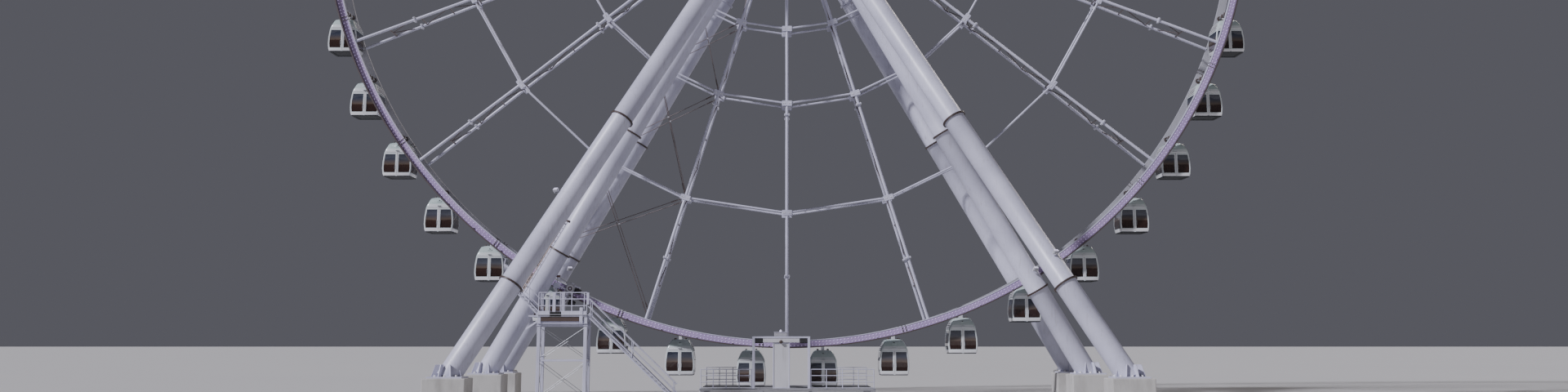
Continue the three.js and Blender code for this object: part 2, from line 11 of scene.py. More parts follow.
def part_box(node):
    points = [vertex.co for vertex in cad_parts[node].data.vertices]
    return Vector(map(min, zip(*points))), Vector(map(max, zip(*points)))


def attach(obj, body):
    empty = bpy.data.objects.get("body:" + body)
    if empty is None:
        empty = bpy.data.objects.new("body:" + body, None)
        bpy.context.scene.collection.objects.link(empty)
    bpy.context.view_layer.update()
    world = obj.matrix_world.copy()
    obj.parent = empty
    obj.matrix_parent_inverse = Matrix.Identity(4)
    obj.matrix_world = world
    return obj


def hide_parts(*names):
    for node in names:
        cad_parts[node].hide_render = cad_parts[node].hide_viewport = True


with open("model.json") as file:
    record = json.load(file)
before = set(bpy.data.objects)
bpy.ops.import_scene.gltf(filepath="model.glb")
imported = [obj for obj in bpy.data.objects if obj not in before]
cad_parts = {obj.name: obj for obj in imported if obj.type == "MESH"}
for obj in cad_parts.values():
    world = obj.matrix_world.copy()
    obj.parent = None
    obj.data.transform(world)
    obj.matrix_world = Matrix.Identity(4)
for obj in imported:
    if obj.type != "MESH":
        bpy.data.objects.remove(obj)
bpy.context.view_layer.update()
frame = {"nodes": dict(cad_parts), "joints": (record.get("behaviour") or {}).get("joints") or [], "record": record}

# The wheel is modelled at its real size, in metres. hand_over brings each piece to this scale.
SCALE = 0.5

RIGHT = Vector((1, 0, 0))
REAR = Vector((0, 1, 0))
UP = Vector((0, 0, 1))


def real(place):
    """A place that the frame gives, in real metres."""
    return Vector(place) / SCALE


# Places that the frame gives.
PIVOTS = {joint["name"]: real(joint["pos_m"]) for joint in frame["joints"]}
HUB = PIVOTS["wheel_spin"]
MOUNTS = {mount["name"]: real(mount["pos_m"]) for mount in frame["record"]["mounts"]}
CABINS = sorted(name for name in frame["nodes"] if name.startswith("cabin_"))
SPOKES = len(CABINS) // 2
SPOKE_PITCH = 2 * math.pi / SPOKES

# Driving sizes of the wheel.
PIVOT_RADIUS = (PIVOTS["cabin_01_pivot"] - HUB).length
RIM_LOW, RIM_HIGH = (real(corner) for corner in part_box("rim_rear"))
RIM_OUTER = (RIM_HIGH.x - RIM_LOW.x) / 2
RIM_INNER = 2 * PIVOT_RADIUS - RIM_OUTER
RIM_FACE = RIM_HIGH.y
RIM_INSIDE = RIM_LOW.y
RAIL_END = real(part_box("rim_front")[0]).y
RAIL_PLATE = 0.063
CHORD = 0.18
CHORD_OFFSET = 0.88
CHORD_SPREAD = 1.2
SPREAD_FROM = 20.6
HUB_FLANGE = 1.9
AXLE_RADIUS = 0.55

# Driving sizes of the legs.
LEG_RADIUS = 0.6
LEG_PLANE = 2.5
PLINTH_TOP = 1.5
STUB_DROP = 7.0
UPPER_RING_DROP = 16.0
INNER_LEFT_RING_DROP = 23.0
LOWER_RING_DROP = 25.2


# Hand tools: selecting, modelling and placing.

def let_go():
    if bpy.context.mode != "OBJECT":
        bpy.ops.object.mode_set(mode="OBJECT")
    bpy.ops.object.select_all(action="DESELECT")


def take(piece):
    let_go()
    piece.select_set(True)
    bpy.context.view_layer.objects.active = piece


def edit(piece):
    take(piece)
    bpy.ops.object.mode_set(mode="EDIT")


def pick(piece, test, kind="FACE"):
    """Selects, in edit mode, the faces, edges or corners that pass a test."""
    mesh = bmesh.from_edit_mesh(piece.data)
    bpy.context.tool_settings.mesh_select_mode = (kind == "VERT", kind == "EDGE", kind == "FACE")
    for group in (mesh.verts, mesh.edges, mesh.faces):
        for part in group:
            part.select = False
    chosen = {"FACE": mesh.faces, "EDGE": mesh.edges, "VERT": mesh.verts}[kind]
    for part in chosen:
        if test(part):
            part.select_set(True)
    bmesh.update_edit_mesh(piece.data)


def middle(face):
    return face.calc_center_median()


def middle_of_edge(edge):
    return (edge.verts[0].co + edge.verts[1].co) / 2


def edge_run(edge):
    return (edge.verts[1].co - edge.verts[0].co).normalized()


def at(x, y, z):
    return Vector((x, y, z))


def settle(piece, name):
    """Names a piece and leaves its place in its mesh."""
    take(piece)
    bpy.ops.object.transform_apply(location=True, rotation=True, scale=True)
    piece.name = name
    piece.data.name = name
    return piece


def smooth(piece, degrees):
    take(piece)
    bpy.ops.object.shade_smooth_by_angle(angle=math.radians(degrees))
    return piece


def block(low, high, edge, segments=1):
    """A block with its edges taken off."""
    let_go()
    low, high = Vector(low), Vector(high)
    bpy.ops.mesh.primitive_cube_add(size=1, location=(low + high) / 2, scale=high - low)
    piece = settle(bpy.context.object, "block")
    bpy.ops.object.mode_set(mode="EDIT")
    bpy.ops.mesh.select_all(action="SELECT")
    bpy.ops.mesh.bevel(offset=edge, segments=segments, affect="EDGES")
    let_go()
    return piece


def turned(profile, sides, round_off=True):
    """A round piece about +Z, drawn up ring by ring from [radius, height] pairs."""
    let_go()
    radius, height = profile[0]
    bpy.ops.mesh.primitive_circle_add(
        vertices=sides, radius=radius, fill_type="NGON", location=(0, 0, height))
    piece = settle(bpy.context.object, "turned")
    bpy.ops.object.mode_set(mode="EDIT")
    bpy.ops.mesh.select_all(action="SELECT")
    for next_radius, next_height in profile[1:]:
        bpy.ops.mesh.extrude_region_move(
            TRANSFORM_OT_translate={"value": (0, 0, next_height - height)})
        if next_radius != radius:
            growth = next_radius / radius
            bpy.ops.transform.resize(value=(growth, growth, 1))
        radius, height = next_radius, next_height
    bpy.ops.mesh.select_all(action="SELECT")
    bpy.ops.mesh.normals_make_consistent(inside=False)
    let_go()
    return smooth(piece, 35) if round_off else piece


def pipe(profile, bore, sides):
    """A round piece about +Z with a straight bore right through it."""
    piece = turned(profile, sides)
    edit(piece)
    ends = (profile[0][1], profile[-1][1])
    at_an_end = lambda face: min(abs(middle(face).z - end) for end in ends) < 1e-5
    pick(piece, lambda face: len(face.verts) == sides and at_an_end(face))
    bpy.ops.mesh.inset(thickness=profile[0][0] - bore)
    bpy.ops.mesh.bridge_edge_loops()
    let_go()
    return piece


def lay_along(direction, square=REAR):
    """Turns +Z to a direction, with +Y as near to another as it can be."""
    along = direction.normalized()
    side = square - along * square.dot(along)
    if side.length < 1e-6:
        side = RIGHT - along * along.x
    side.normalize()
    return Matrix((side.cross(along), side, along)).transposed().to_4x4()


def put(piece, place, direction, square=REAR):
    """Moves a piece that was made at the origin, about +Z, to its place."""
    piece.data.transform(Matrix.Translation(place) @ lay_along(direction, square))
    return piece


def copy_of(piece, matrix):
    """A copy with its own mesh, moved by a matrix that is worked into the mesh."""
    copy = piece.copy()
    copy.data = piece.data.copy()
    copy.data.transform(matrix)
    bpy.context.collection.objects.link(copy)
    return copy


def many(name, pattern, matrices):
    """One piece that holds a copy of a pattern at each matrix."""
    mesh = bmesh.new()
    source = bmesh.new()
    source.from_mesh(pattern.data)
    scratch = bpy.data.meshes.new("scratch")
    for matrix in matrices:
        source.to_mesh(scratch)
        scratch.transform(matrix)
        mesh.from_mesh(scratch)
    whole = bpy.data.objects.new(name, bpy.data.meshes.new(name))
    mesh.to_mesh(whole.data)
    mesh.free()
    source.free()
    bpy.data.meshes.remove(scratch)
    for material in pattern.data.materials:
        whole.data.materials.append(material)
    bpy.context.collection.objects.link(whole)
    return whole


def join(name, parts):
    take(parts[0])
    for part in parts:
        part.select_set(True)
    bpy.ops.object.join()
    whole = bpy.context.object
    whole.name = name
    whole.data.name = name
    return whole


def drop(*pieces):
    for piece in pieces:
        bpy.data.objects.remove(piece, do_unlink=True)


def paint(piece, *finishes):
    piece.data.materials.clear()
    for finish in finishes:
        piece.data.materials.append(finish)
    return piece


def finish_faces(piece, finish):
    """Gives the picked faces one of the finishes that the piece was painted with."""
    piece.active_material_index = piece.data.materials.find(finish.name)
    bpy.ops.object.material_slot_assign()


def hand_over(piece, body, slot, *nodes):
    """Brings a finished piece to scale, on its body, with what it stands for. Its slot is not used."""
    piece.data.transform(Matrix.Scale(SCALE, 4))
    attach(piece, body)
    if nodes:
        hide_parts(*nodes)


def outward(angle):
    """The direction out from the hub, its angle taken from straight down to +X."""
    return Vector((math.sin(angle), 0, -math.cos(angle)))


def on_wheel(angle, radius, y):
    return HUB + outward(angle) * radius + REAR * y


# Finishes, and what they are built with.

class Link:
    """One socket. Sums, differences, products and comparisons add Math nodes."""

    def __init__(self, finish, socket):
        self.finish = finish
        self.socket = socket

    def maths(self, operation, first, second):
        return self.finish.add("Math", {"operation": operation}, {0: first, 1: second})

    def __add__(self, other):
        return self.maths("ADD", self, other)

    def __sub__(self, other):
        return self.maths("SUBTRACT", self, other)

    def __rsub__(self, other):
        return self.maths("SUBTRACT", other, self)

    def __mul__(self, other):
        return self.maths("MULTIPLY", self, other)

    def __gt__(self, other):
        return self.maths("GREATER_THAN", self, other)

    __radd__ = __add__
    __rmul__ = __mul__


class Finish:
    """A material that is built node by node."""

    def __init__(self, name):
        self.material = bpy.data.materials.new(name)
        self.material.use_nodes = True
        self.nodes = self.material.node_tree.nodes
        self.links = self.material.node_tree.links
        self.nodes.clear()

    def add(self, kind, settings=None, sockets=None, out=0):
        """Adds a node: its type, its settings, then the values or links of its sockets."""
        node = self.nodes.new("ShaderNode" + kind)
        for key, value in (settings or {}).items():
            if key == "stops":
                self.set_stops(node.color_ramp, value)
            else:
                setattr(node, key, value)
        for key, value in (sockets or {}).items():
            if isinstance(value, Link):
                self.links.new(value.socket, node.inputs[key])
            else:
                node.inputs[key].default_value = value
        return Link(self, node.outputs[out])

    @staticmethod
    def set_stops(ramp, stops):
        for place, colour in stops[1:-1]:
            ramp.elements.new(place).color = colour
        for element, (place, colour) in zip(ramp.elements, stops):
            element.position = place
            element.color = colour

    def place(self, stretch=(1, 1, 1)):
        """Where a point lies on the piece, in Object coordinates that may be stretched."""
        return self.add("Mapping", {}, {"Vector": self.add("TexCoord", out=3), "Scale": stretch})

    def noise(self, scale, detail, stretch=(1, 1, 1)):
        return self.add("TexNoise", {}, {
            "Vector": self.place(stretch), "Scale": scale, "Detail": detail, "Roughness": 0.55})

    def cells(self, scale):
        return self.add("TexVoronoi", {"feature": "F1"}, {"Vector": self.place(), "Scale": scale})

    def ramp(self, value, *stops):
        """A grey level that follows a value, from [value, level] stops."""
        grey = [(place, (level, level, level, 1)) for place, level in stops]
        return self.add("ValToRGB", {"stops": grey}, {"Fac": value})

    def mix(self, amount, first, second):
        """A colour that goes from the first to the second."""
        return self.add("Mix", {"data_type": "RGBA"}, {0: amount, 6: first, 7: second}, out=2)

    def bump(self, height, distance, strength, under=None):
        sockets = {"Height": height, "Distance": distance, "Strength": strength}
        if under:
            sockets["Normal"] = under
        return self.add("Bump", {}, sockets)

    def surface(self, **sockets):
        """Ends the finish in one Principled shader. Socket names use _ for a space."""
        named = {key.replace("_", " "): value for key, value in sockets.items()}
        shader = self.add("BsdfPrincipled", {}, named)
        output = self.nodes.new("ShaderNodeOutputMaterial")
        self.links.new(shader.socket, output.inputs["Surface"])
        return self.material


def colour(red, green, blue):
    return (red, green, blue, 1.0)


def weathered_paint(name, base, shade, grime):
    """Structural paint: cloudy colour, thin streaks down it, and a little dirt."""
    finish = Finish(name)
    cloud = finish.noise(0.9, 5)
    streak = finish.noise(7.0, 6, (3.0, 3.0, 0.16))
    speck = finish.noise(60.0, 3)
    body = finish.mix(finish.ramp(cloud, (0.35, 0.0), (0.7, 1.0)), base, shade)
    marks = finish.ramp(streak, (0.56, 0.0), (0.78, 0.55))
    body = finish.mix(marks * 0.7, body, grime)
    body = finish.mix(finish.ramp(speck, (0.68, 0.0), (0.76, 0.5)), body, grime)
    return finish.surface(
        Base_Color=body,
        Roughness=0.38 + cloud * 0.12 + marks * 0.2,
        Normal=finish.bump(speck, 0.0006, 0.35, finish.bump(cloud, 0.004, 0.25)),
        Coat_Weight=0.15,
        Coat_Roughness=0.3,
    )


def galvanised(name, base=(0.48, 0.49, 0.51), dark=(0.3, 0.31, 0.33)):
    """Zinc-coated steel with its soft spangle."""
    finish = Finish(name)
    spangle = finish.cells(45.0)
    cloud = finish.noise(3.0, 4)
    body = finish.mix(spangle * 0.6 + cloud * 0.3, colour(*base), colour(*dark))
    return finish.surface(
        Base_Color=body,
        Metallic=0.85,
        Roughness=0.36 + cloud * 0.2,
        Normal=finish.bump(spangle, 0.0004, 0.3),
    )


def gloss_shell(name, base, shade, grime):
    """Moulded and sprayed cabin panels, washed but not new."""
    finish = Finish(name)
    cloud = finish.noise(1.6, 4)
    streak = finish.noise(16.0, 5, (2.5, 2.5, 0.2))
    marks = finish.ramp(streak, (0.6, 0.0), (0.82, 0.5))
    body = finish.mix(finish.ramp(cloud, (0.3, 0.0), (0.75, 1.0)), base, shade)
    return finish.surface(
        Base_Color=finish.mix(marks * 0.6, body, grime),
        Roughness=0.24 + cloud * 0.08 + marks * 0.25,
        Normal=finish.bump(cloud, 0.002, 0.15),
        Coat_Weight=0.45,
        Coat_Roughness=0.12,
    )


def tinted_glass_and_painted_reflection(name):
    """Dark tinted glazing: bluish high on each pane and brown low down, with a painted reflection, a lighter warm
    band, a little below the middle.
    """
    finish = Finish(name)
    height = finish.add("Attribute", {"attribute_name": "pane_height"}, out=2)
    cloud = finish.noise(1.3, 3)
    tint_and_reflection = finish.add("ValToRGB", {"stops": [
        (0.0, colour(0.022, 0.011, 0.009)),
        (0.42, colour(0.04, 0.02, 0.015)),
        # Painted reflection: the lighter warm band a little below the middle of each pane.
        (0.48, colour(0.12, 0.09, 0.07)),
        (0.72, colour(0.055, 0.062, 0.085)),
        (1.0, colour(0.013, 0.02, 0.042)),
    ]}, {"Fac": height + (cloud - 0.5) * 0.16})
    smear = finish.noise(9.0, 5, (1, 1, 0.4))
    return finish.surface(
        Base_Color=tint_and_reflection,
        Roughness=0.06 + finish.ramp(smear, (0.5, 0.0), (0.8, 0.14)),
        Alpha=0.93,
        Normal=finish.bump(cloud, 0.006, 0.06),
        Coat_Weight=0.6,
        Coat_Roughness=0.04,
    )


def rubber(name, base=(0.02, 0.02, 0.022), rough=0.72):
    finish = Finish(name)
    grain = finish.noise(90.0, 3)
    dust = finish.ramp(finish.noise(4.0, 5), (0.5, 0.0), (0.8, 0.6))
    return finish.surface(
        Base_Color=finish.mix(dust * 0.35, colour(*base), colour(0.13, 0.12, 0.11)),
        Roughness=rough + dust * 0.15,
        Normal=finish.bump(grain, 0.0005, 0.4),
    )


def dark_underside(name):
    """Satin charcoal panels under a cabin, with dried splashes."""
    finish = Finish(name)
    cloud = finish.noise(2.5, 5)
    splash = finish.ramp(finish.noise(24.0, 6), (0.6, 0.0), (0.72, 0.6))
    body = finish.mix(cloud, colour(0.012, 0.015, 0.019), colour(0.028, 0.031, 0.036))
    return finish.surface(
        Base_Color=finish.mix(splash * 0.5, body, colour(0.1, 0.09, 0.085)),
        Roughness=0.62 + cloud * 0.15,
        Normal=finish.bump(splash, 0.0008, 0.3),
    )


def lamp_lens(name, base, glow, power):
    """A small diffusing lens that is faintly lit."""
    finish = Finish(name)
    patch = finish.noise(2.2, 3)
    body = finish.mix(finish.ramp(patch, (0.35, 0.0), (0.65, 1.0)), base, glow)
    return finish.surface(
        Base_Color=body,
        Roughness=0.3 + patch * 0.1,
        Emission_Color=body,
        Emission_Strength=power,
        Coat_Weight=0.3,
    )


def chequer_deck(name):
    """Steel tread plate: raised lozenges, worn bright in places."""
    finish = Finish(name)
    first = finish.add("TexWave", {"bands_direction": "DIAGONAL"}, {
        "Vector": finish.place((1, 1, 0.02)), "Scale": 22.0, "Distortion": 0.0})
    second = finish.add("TexWave", {"bands_direction": "DIAGONAL"}, {
        "Vector": finish.place((1, -1, 0.02)), "Scale": 22.0, "Distortion": 0.0})
    raised = (first > 0.82) * (second > 0.45)
    wear = finish.ramp(finish.noise(1.5, 6), (0.42, 0.0), (0.66, 1.0))
    body = finish.mix(wear, colour(0.16, 0.165, 0.175), colour(0.3, 0.3, 0.31))
    return finish.surface(
        Base_Color=finish.mix(raised * 0.5, body, colour(0.42, 0.42, 0.43)),
        Metallic=0.35,
        Roughness=0.55 - raised * 0.15 + wear * 0.1,
        Normal=finish.bump(raised, 0.003, 0.8),
    )


def cast_concrete(name):
    """Cast concrete with pores and damp stains."""
    finish = Finish(name)
    cloud = finish.noise(1.8, 6)
    pores = finish.ramp(finish.cells(34.0), (0.0, 1.0), (0.16, 0.0))
    damp = finish.ramp(finish.noise(3.0, 5, (1, 1, 0.35)), (0.5, 0.0), (0.75, 1.0))
    body = finish.mix(cloud, colour(0.42, 0.41, 0.39), colour(0.58, 0.57, 0.54))
    body = finish.mix(damp * 0.5, body, colour(0.24, 0.23, 0.21))
    return finish.surface(
        Base_Color=finish.mix(pores * 0.6, body, colour(0.2, 0.19, 0.18)),
        Roughness=0.82 + cloud * 0.1,
        Normal=finish.bump(1 - pores, 0.004, 0.5, finish.bump(cloud, 0.01, 0.4)),
    )


def plain_floor(name):
    finish = Finish(name)
    cloud = finish.noise(0.05, 3)
    return finish.surface(
        Base_Color=finish.mix(cloud, colour(0.5, 0.5, 0.5), colour(0.53, 0.53, 0.52)),
        Roughness=0.9,
    )


# Painted light: the white paint is greyed and tinted lavender, the bluish dusk shade the wheel stood in painted
# into its colour.
WHITE = weathered_paint(
    "white_steel_paint", colour(0.6, 0.6, 0.72), colour(0.48, 0.48, 0.59), colour(0.24, 0.21, 0.2))
GREY = weathered_paint(
    "grey_steel_paint", colour(0.42, 0.42, 0.46), colour(0.34, 0.34, 0.37), colour(0.17, 0.15, 0.14))
LIGHT_GREY = weathered_paint(
    "light_grey_paint", colour(0.6, 0.6, 0.63), colour(0.52, 0.52, 0.55), colour(0.22, 0.2, 0.19))
MAROON = weathered_paint(
    "maroon_edge_paint", colour(0.1, 0.035, 0.045), colour(0.07, 0.03, 0.04), colour(0.03, 0.02, 0.02))
# Painted light: the channel's mauve stands for the lavender light on the front rim's lit face.
MAUVE_PAINTED_LIGHT = weathered_paint(
    "mauve_channel_painted_light", colour(0.47, 0.36, 0.6), colour(0.4, 0.3, 0.53), colour(0.22, 0.15, 0.27))
SHELL = gloss_shell(
    "cabin_shell", colour(0.66, 0.7, 0.7), colour(0.58, 0.63, 0.64), colour(0.3, 0.3, 0.28))
ROOF = gloss_shell(
    "cabin_roof", colour(0.42, 0.52, 0.5), colour(0.5, 0.57, 0.56), colour(0.2, 0.22, 0.2))
TRIM = gloss_shell(
    "cabin_white_trim", colour(0.82, 0.82, 0.84), colour(0.74, 0.75, 0.78), colour(0.4, 0.38, 0.36))
UNDERSIDE = dark_underside("cabin_underside")
GLASS = tinted_glass_and_painted_reflection("tinted_glass_and_painted_reflection")
# Black seals and dark joints, and painted shade: the dark strips in the roof louvres' slots.
SEAM_AND_SHADE = rubber("black_seal_and_painted_shade")
BEARING = weathered_paint(
    "brown_bearing", colour(0.09, 0.06, 0.05), colour(0.06, 0.045, 0.04), colour(0.02, 0.02, 0.02))
STEEL = galvanised("zinc_steel")
# Dark steel, and painted shade: the spokes' rungs take this finish for the shade they stand in.
DARK_STEEL_AND_SHADE = galvanised("dark_steel_and_painted_shade", (0.2, 0.17, 0.17), (0.12, 0.1, 0.1))
LAMPS = lamp_lens("rim_lamps", colour(0.78, 0.62, 0.85), colour(0.62, 0.6, 0.92), 0.25)
FLOOD = lamp_lens("flood_lamps", colour(0.72, 0.66, 0.92), colour(0.8, 0.78, 0.95), 0.3)
DECK = chequer_deck("tread_plate")
CONCRETE = cast_concrete("plinth_concrete")
TYRE = rubber("tyre_rubber", (0.025, 0.025, 0.027), 0.8)
RED = weathered_paint(
    "red_oxide_paint", colour(0.16, 0.07, 0.06), colour(0.12, 0.055, 0.05), colour(0.06, 0.03, 0.03))
RUSTED = weathered_paint(
    "rusted_ladder", colour(0.55, 0.44, 0.37), colour(0.42, 0.3, 0.24), colour(0.2, 0.1, 0.07))


# Stock: small parts that are modelled once and copied where they are needed.

def stock_bar():
    """A square bar, 1 long and 1 across, with its long edges taken off."""
    let_go()
    bpy.ops.mesh.primitive_cube_add(size=1, location=(0, 0, 0.5))
    piece = settle(bpy.context.object, "stock_bar")
    bpy.ops.object.mode_set(mode="EDIT")
    pick(piece, lambda edge: abs(edge_run(edge).z) > 0.9, "EDGE")
    bpy.ops.mesh.bevel(offset=0.06, segments=1, affect="EDGES")
    let_go()
    return piece


BOLT_PROFILE = [(0.5, 0), (0.5, 0.1), (0.36, 0.101), (0.36, 0.42), (0.28, 0.5)]
BAR = stock_bar()
TUBE = turned([(0.5, 0), (0.5, 1)], 12)
THIN_TUBE = turned([(0.5, 0), (0.5, 1)], 8)
BOLT = turned(BOLT_PROFILE, 6, False)


def between(unit, start, end, width, depth, square=REAR):
    """A copy of a bar that is 1 long and 1 across, laid from one point to another."""
    run = end - start
    size = Matrix.Diagonal((width, depth, run.length, 1))
    return copy_of(unit, Matrix.Translation(start) @ lay_along(run, square) @ size)


def beam(start, end, width, depth, finish, square=REAR):
    return paint(between(BAR, start, end, width, depth, square), finish)


def tube(start, end, across, finish):
    return paint(between(TUBE, start, end, across, across), finish)


def rod(start, end, across, finish, square=REAR):
    return paint(between(THIN_TUBE, start, end, across, across, square), finish)


def plate(low, high, finish, edge=0.006, segments=1):
    return paint(block(low, high, edge, segments), finish)


def bolt(place, direction, size):
    """A six-sided head on its washer, pointing away from what it holds."""
    head = Matrix.Diagonal((size, size, size, 1))
    return copy_of(BOLT, Matrix.Translation(place) @ lay_along(direction) @ head)


def bolt_ring(centre, direction, radius, count, size):
    turn = lay_along(direction)
    bolts = []
    for i in range(count):
        angle = 2 * math.pi * i / count
        spot = turn @ at(radius * math.cos(angle), radius * math.sin(angle), 0)
        bolts.append(bolt(centre + spot, direction, size))
    return bolts


def bolt_grid(xs, ys, z, size):
    return [bolt(at(x, y, z), UP, size) for x in xs for y in ys]


# The cabins. Heights are taken from the pivot.

CABIN_LEVELS = [
    (-2.50, 0.775, 0.87),
    (-2.45, 0.805, 0.905),
    (-2.30, 0.85, 0.925),
    (-2.00, 0.885, 0.93),
    (-1.60, 0.87, 0.93),
    (-1.11, 0.80, 0.93),
    (-0.96, 0.755, 0.92),
    (-0.83, 0.70, 0.895),
    (-0.60, 0.595, 0.80),
    (-0.50, 0.54, 0.72),
    (-0.45, 0.46, 0.62),
]
FLOOR_EDGE = -2.45
SILL_TOP = -2.30
HEADER = -1.11
EAVES = -0.96
ROOF_BEND = -0.83
CABIN_CORNER = 0.09
STILE = 0.045
SEAM_HALF = 0.01
PANE_BORDER = 0.05
PANE_SETBACK = 0.018
LOUVRE_HEIGHTS = (-1.02, -0.92, -0.82, -0.73, -0.65)
LOUVRE_HALF = 0.74
LOUVRE_TAPER = 0.035
LOUVRE_WIDE = 0.05
SHADE_STRIP_THICK = 0.012
SHAFT_RADIUS = 0.07
COLLAR_PROFILE = [(0.1, -0.03), (0.115, -0.015), (0.115, 0.015), (0.1, 0.03)]
KNOB_PROFILE = [(0.035, -0.5), (0.035, -0.42), (0.055, -0.41), (0.05, -0.36), (0.02, -0.345)]
EYE_PROFILE = [(0.03, 0), (0.03, 0.03), (0.02, 0.045)]
CLAMP_OFFSET = 0.28
COLLAR_OFFSET = 0.42
KNOB_X = 0.3
KNOB_Y = 0.45
HOOD_OFFSET = 0.835
EYE_OFFSET = 0.84
HANDLE_X = 0.11
HANDLE_OFFSET = 0.945
DOOR_RAIL_OFFSET = 0.925
CABIN_FINISHES = [SHELL, TRIM, GLASS, SEAM_AND_SHADE, UNDERSIDE, ROOF, BEARING, STEEL]


def cabin_body():
    """A closed cabin drawn up from its floor, with its pivot at the origin."""
    let_go()
    z, half_x, half_y = CABIN_LEVELS[0]
    bpy.ops.mesh.primitive_plane_add(size=2, location=(0, 0, z))
    bpy.context.object.scale = (half_x, half_y, 1)
    body = settle(bpy.context.object, "cabin_body")
    paint(body, *CABIN_FINISHES)
    bpy.ops.object.mode_set(mode="EDIT")
    bpy.ops.mesh.select_all(action="SELECT")
    for next_z, next_x, next_y in CABIN_LEVELS[1:]:
        bpy.ops.mesh.extrude_region_move(TRANSFORM_OT_translate={"value": (0, 0, next_z - z)})
        bpy.ops.transform.resize(value=(next_x / half_x, next_y / half_y, 1))
        z, half_x, half_y = next_z, next_x, next_y
    bpy.ops.mesh.select_all(action="SELECT")
    bpy.ops.mesh.normals_make_consistent(inside=False)
    pick(body, lambda edge: abs(edge_run(edge).z) > 0.35, "EDGE")
    bpy.ops.mesh.bevel(offset=CABIN_CORNER, segments=3, affect="EDGES")
    for x in (-STILE, -SEAM_HALF, SEAM_HALF, STILE):
        bpy.ops.mesh.select_all(action="SELECT")
        bpy.ops.mesh.bisect(plane_co=(x, 0, 0), plane_no=(1, 0, 0))
    return body


def is_end(face):
    return abs(face.normal.y) > 0.93


def lies(face, low, high):
    return low < middle(face).z < high


def is_pane(face):
    beside_door_seam = is_end(face) and abs(middle(face).x) > STILE
    return lies(face, SILL_TOP, HEADER) and (abs(face.normal.x) > 0.9 or beside_door_seam)


def is_door_line(face, inner, outer):
    """On an end of the cabin, in the door's height, and so far from its middle line."""
    return is_end(face) and inner < abs(middle(face).x) < outer and lies(face, FLOOR_EDGE, EAVES)


def is_roof_side(face):
    return abs(face.normal.x) > 0.8 and not is_end(face) and lies(face, HEADER, ROOF_BEND)


def shape(body, test, finish, *insets):
    """Insets the faces that pass a test, step by step, and gives what is left a finish."""
    pick(body, test)
    for inset in insets:
        bpy.ops.mesh.inset(**inset)
    if finish:
        finish_faces(body, finish)


def cabin_panels(body):
    """Roof, underside, panes, door seams, stiles and sill, cut into the cabin's skin."""
    shape(body, lambda f: f.normal.z > 0.25 or middle(f).z > ROOF_BEND, ROOF)
    shape(body, lambda f: middle(f).z < FLOOR_EDGE, UNDERSIDE)
    shape(body, is_pane, GLASS,
          {"thickness": PANE_BORDER, "depth": -PANE_SETBACK, "use_boundary": True})
    shape(body, lambda f: is_door_line(f, -1, SEAM_HALF), SEAM_AND_SHADE,
          {"thickness": 0.002, "depth": -0.012, "use_boundary": True})
    shape(body, lambda f: is_door_line(f, SEAM_HALF, STILE), TRIM)
    shape(body, lambda f: lies(f, FLOOR_EDGE, SILL_TOP) and abs(f.normal.z) < 0.5, TRIM)
    shape(body, is_roof_side, TRIM,
          {"thickness": 0.018, "depth": 0.006, "use_individual": True},
          {"thickness": 0.018, "use_individual": True})
    shape(body, lambda f: f.normal.z < -0.9, None,
          {"thickness": 0.12}, {"thickness": 0.02, "depth": -0.025})
    shape(body, lambda f: f.normal.z > 0.9, None,
          {"thickness": 0.07}, {"thickness": 0.02, "depth": 0.02})


def pane_heights(body):
    """Keeps each corner's share of the pane's height, for the tint and the painted reflection of the glass."""
    share = body.data.attributes.new("pane_height", "FLOAT", "POINT")
    for i, corner in enumerate(body.data.vertices):
        share.data[i].value = (corner.co.z - SILL_TOP) / (HEADER - SILL_TOP)


def hanger_post(y):
    """A pedestal between the roof and a clamp on the shaft, spread at its foot."""
    post = plate((-0.09, y - 0.045, -0.48), (0.09, y + 0.045, -0.1), LIGHT_GREY, 0.012)
    edit(post)
    pick(post, lambda f: f.normal.z < -0.9)
    bpy.ops.transform.resize(value=(2.0, 1.3, 1))
    let_go()
    return post


def cabin_hanger():
    """The pivot shaft with its collars, clamps and pedestals, and what is on the roof."""
    reach = RIM_INSIDE - 0.006
    shaft = turned([(SHAFT_RADIUS, -reach), (SHAFT_RADIUS, reach)], 16)
    parts = [paint(put(shaft, at(0, 0, 0), REAR), STEEL)]
    for side in (-1, 1):
        clamp, hood = side * CLAMP_OFFSET, side * HOOD_OFFSET
        collar = put(turned(COLLAR_PROFILE, 16), at(0, side * COLLAR_OFFSET, 0), REAR)
        parts.append(paint(collar, BEARING))
        parts.append(plate((-0.12, clamp - 0.06, -0.12), (0.12, clamp + 0.06, 0.11), BEARING, 0.02, 2))
        parts.append(hanger_post(clamp))
        for x in (-KNOB_X, KNOB_X):
            parts.append(paint(put(turned(KNOB_PROFILE, 10), at(x, side * KNOB_Y, 0), UP), BEARING))
        parts.append(plate((-0.13, hood - 0.035, -0.73), (0.13, hood + 0.035, -0.65), ROOF, 0.012))
        eye = put(turned(EYE_PROFILE, 10), at(0, side * EYE_OFFSET, -0.62), REAR * side)
        parts.append(paint(eye, SEAM_AND_SHADE))
    parts.append(plate((-0.05, -CLAMP_OFFSET, -0.3), (0.05, CLAMP_OFFSET, -0.24), LIGHT_GREY, 0.01))
    return parts


def side_of_roof(z):
    """How far out the side of a cabin lies at a height, and which way it faces."""
    rows = zip(CABIN_LEVELS, CABIN_LEVELS[1:])
    (low, low_x, _), (high, high_x, _) = next(row for row in rows if row[0][0] <= z < row[1][0])
    out = low_x + (high_x - low_x) * (z - low) / (high - low)
    return out, at(high - low, 0, low_x - high_x).normalized()


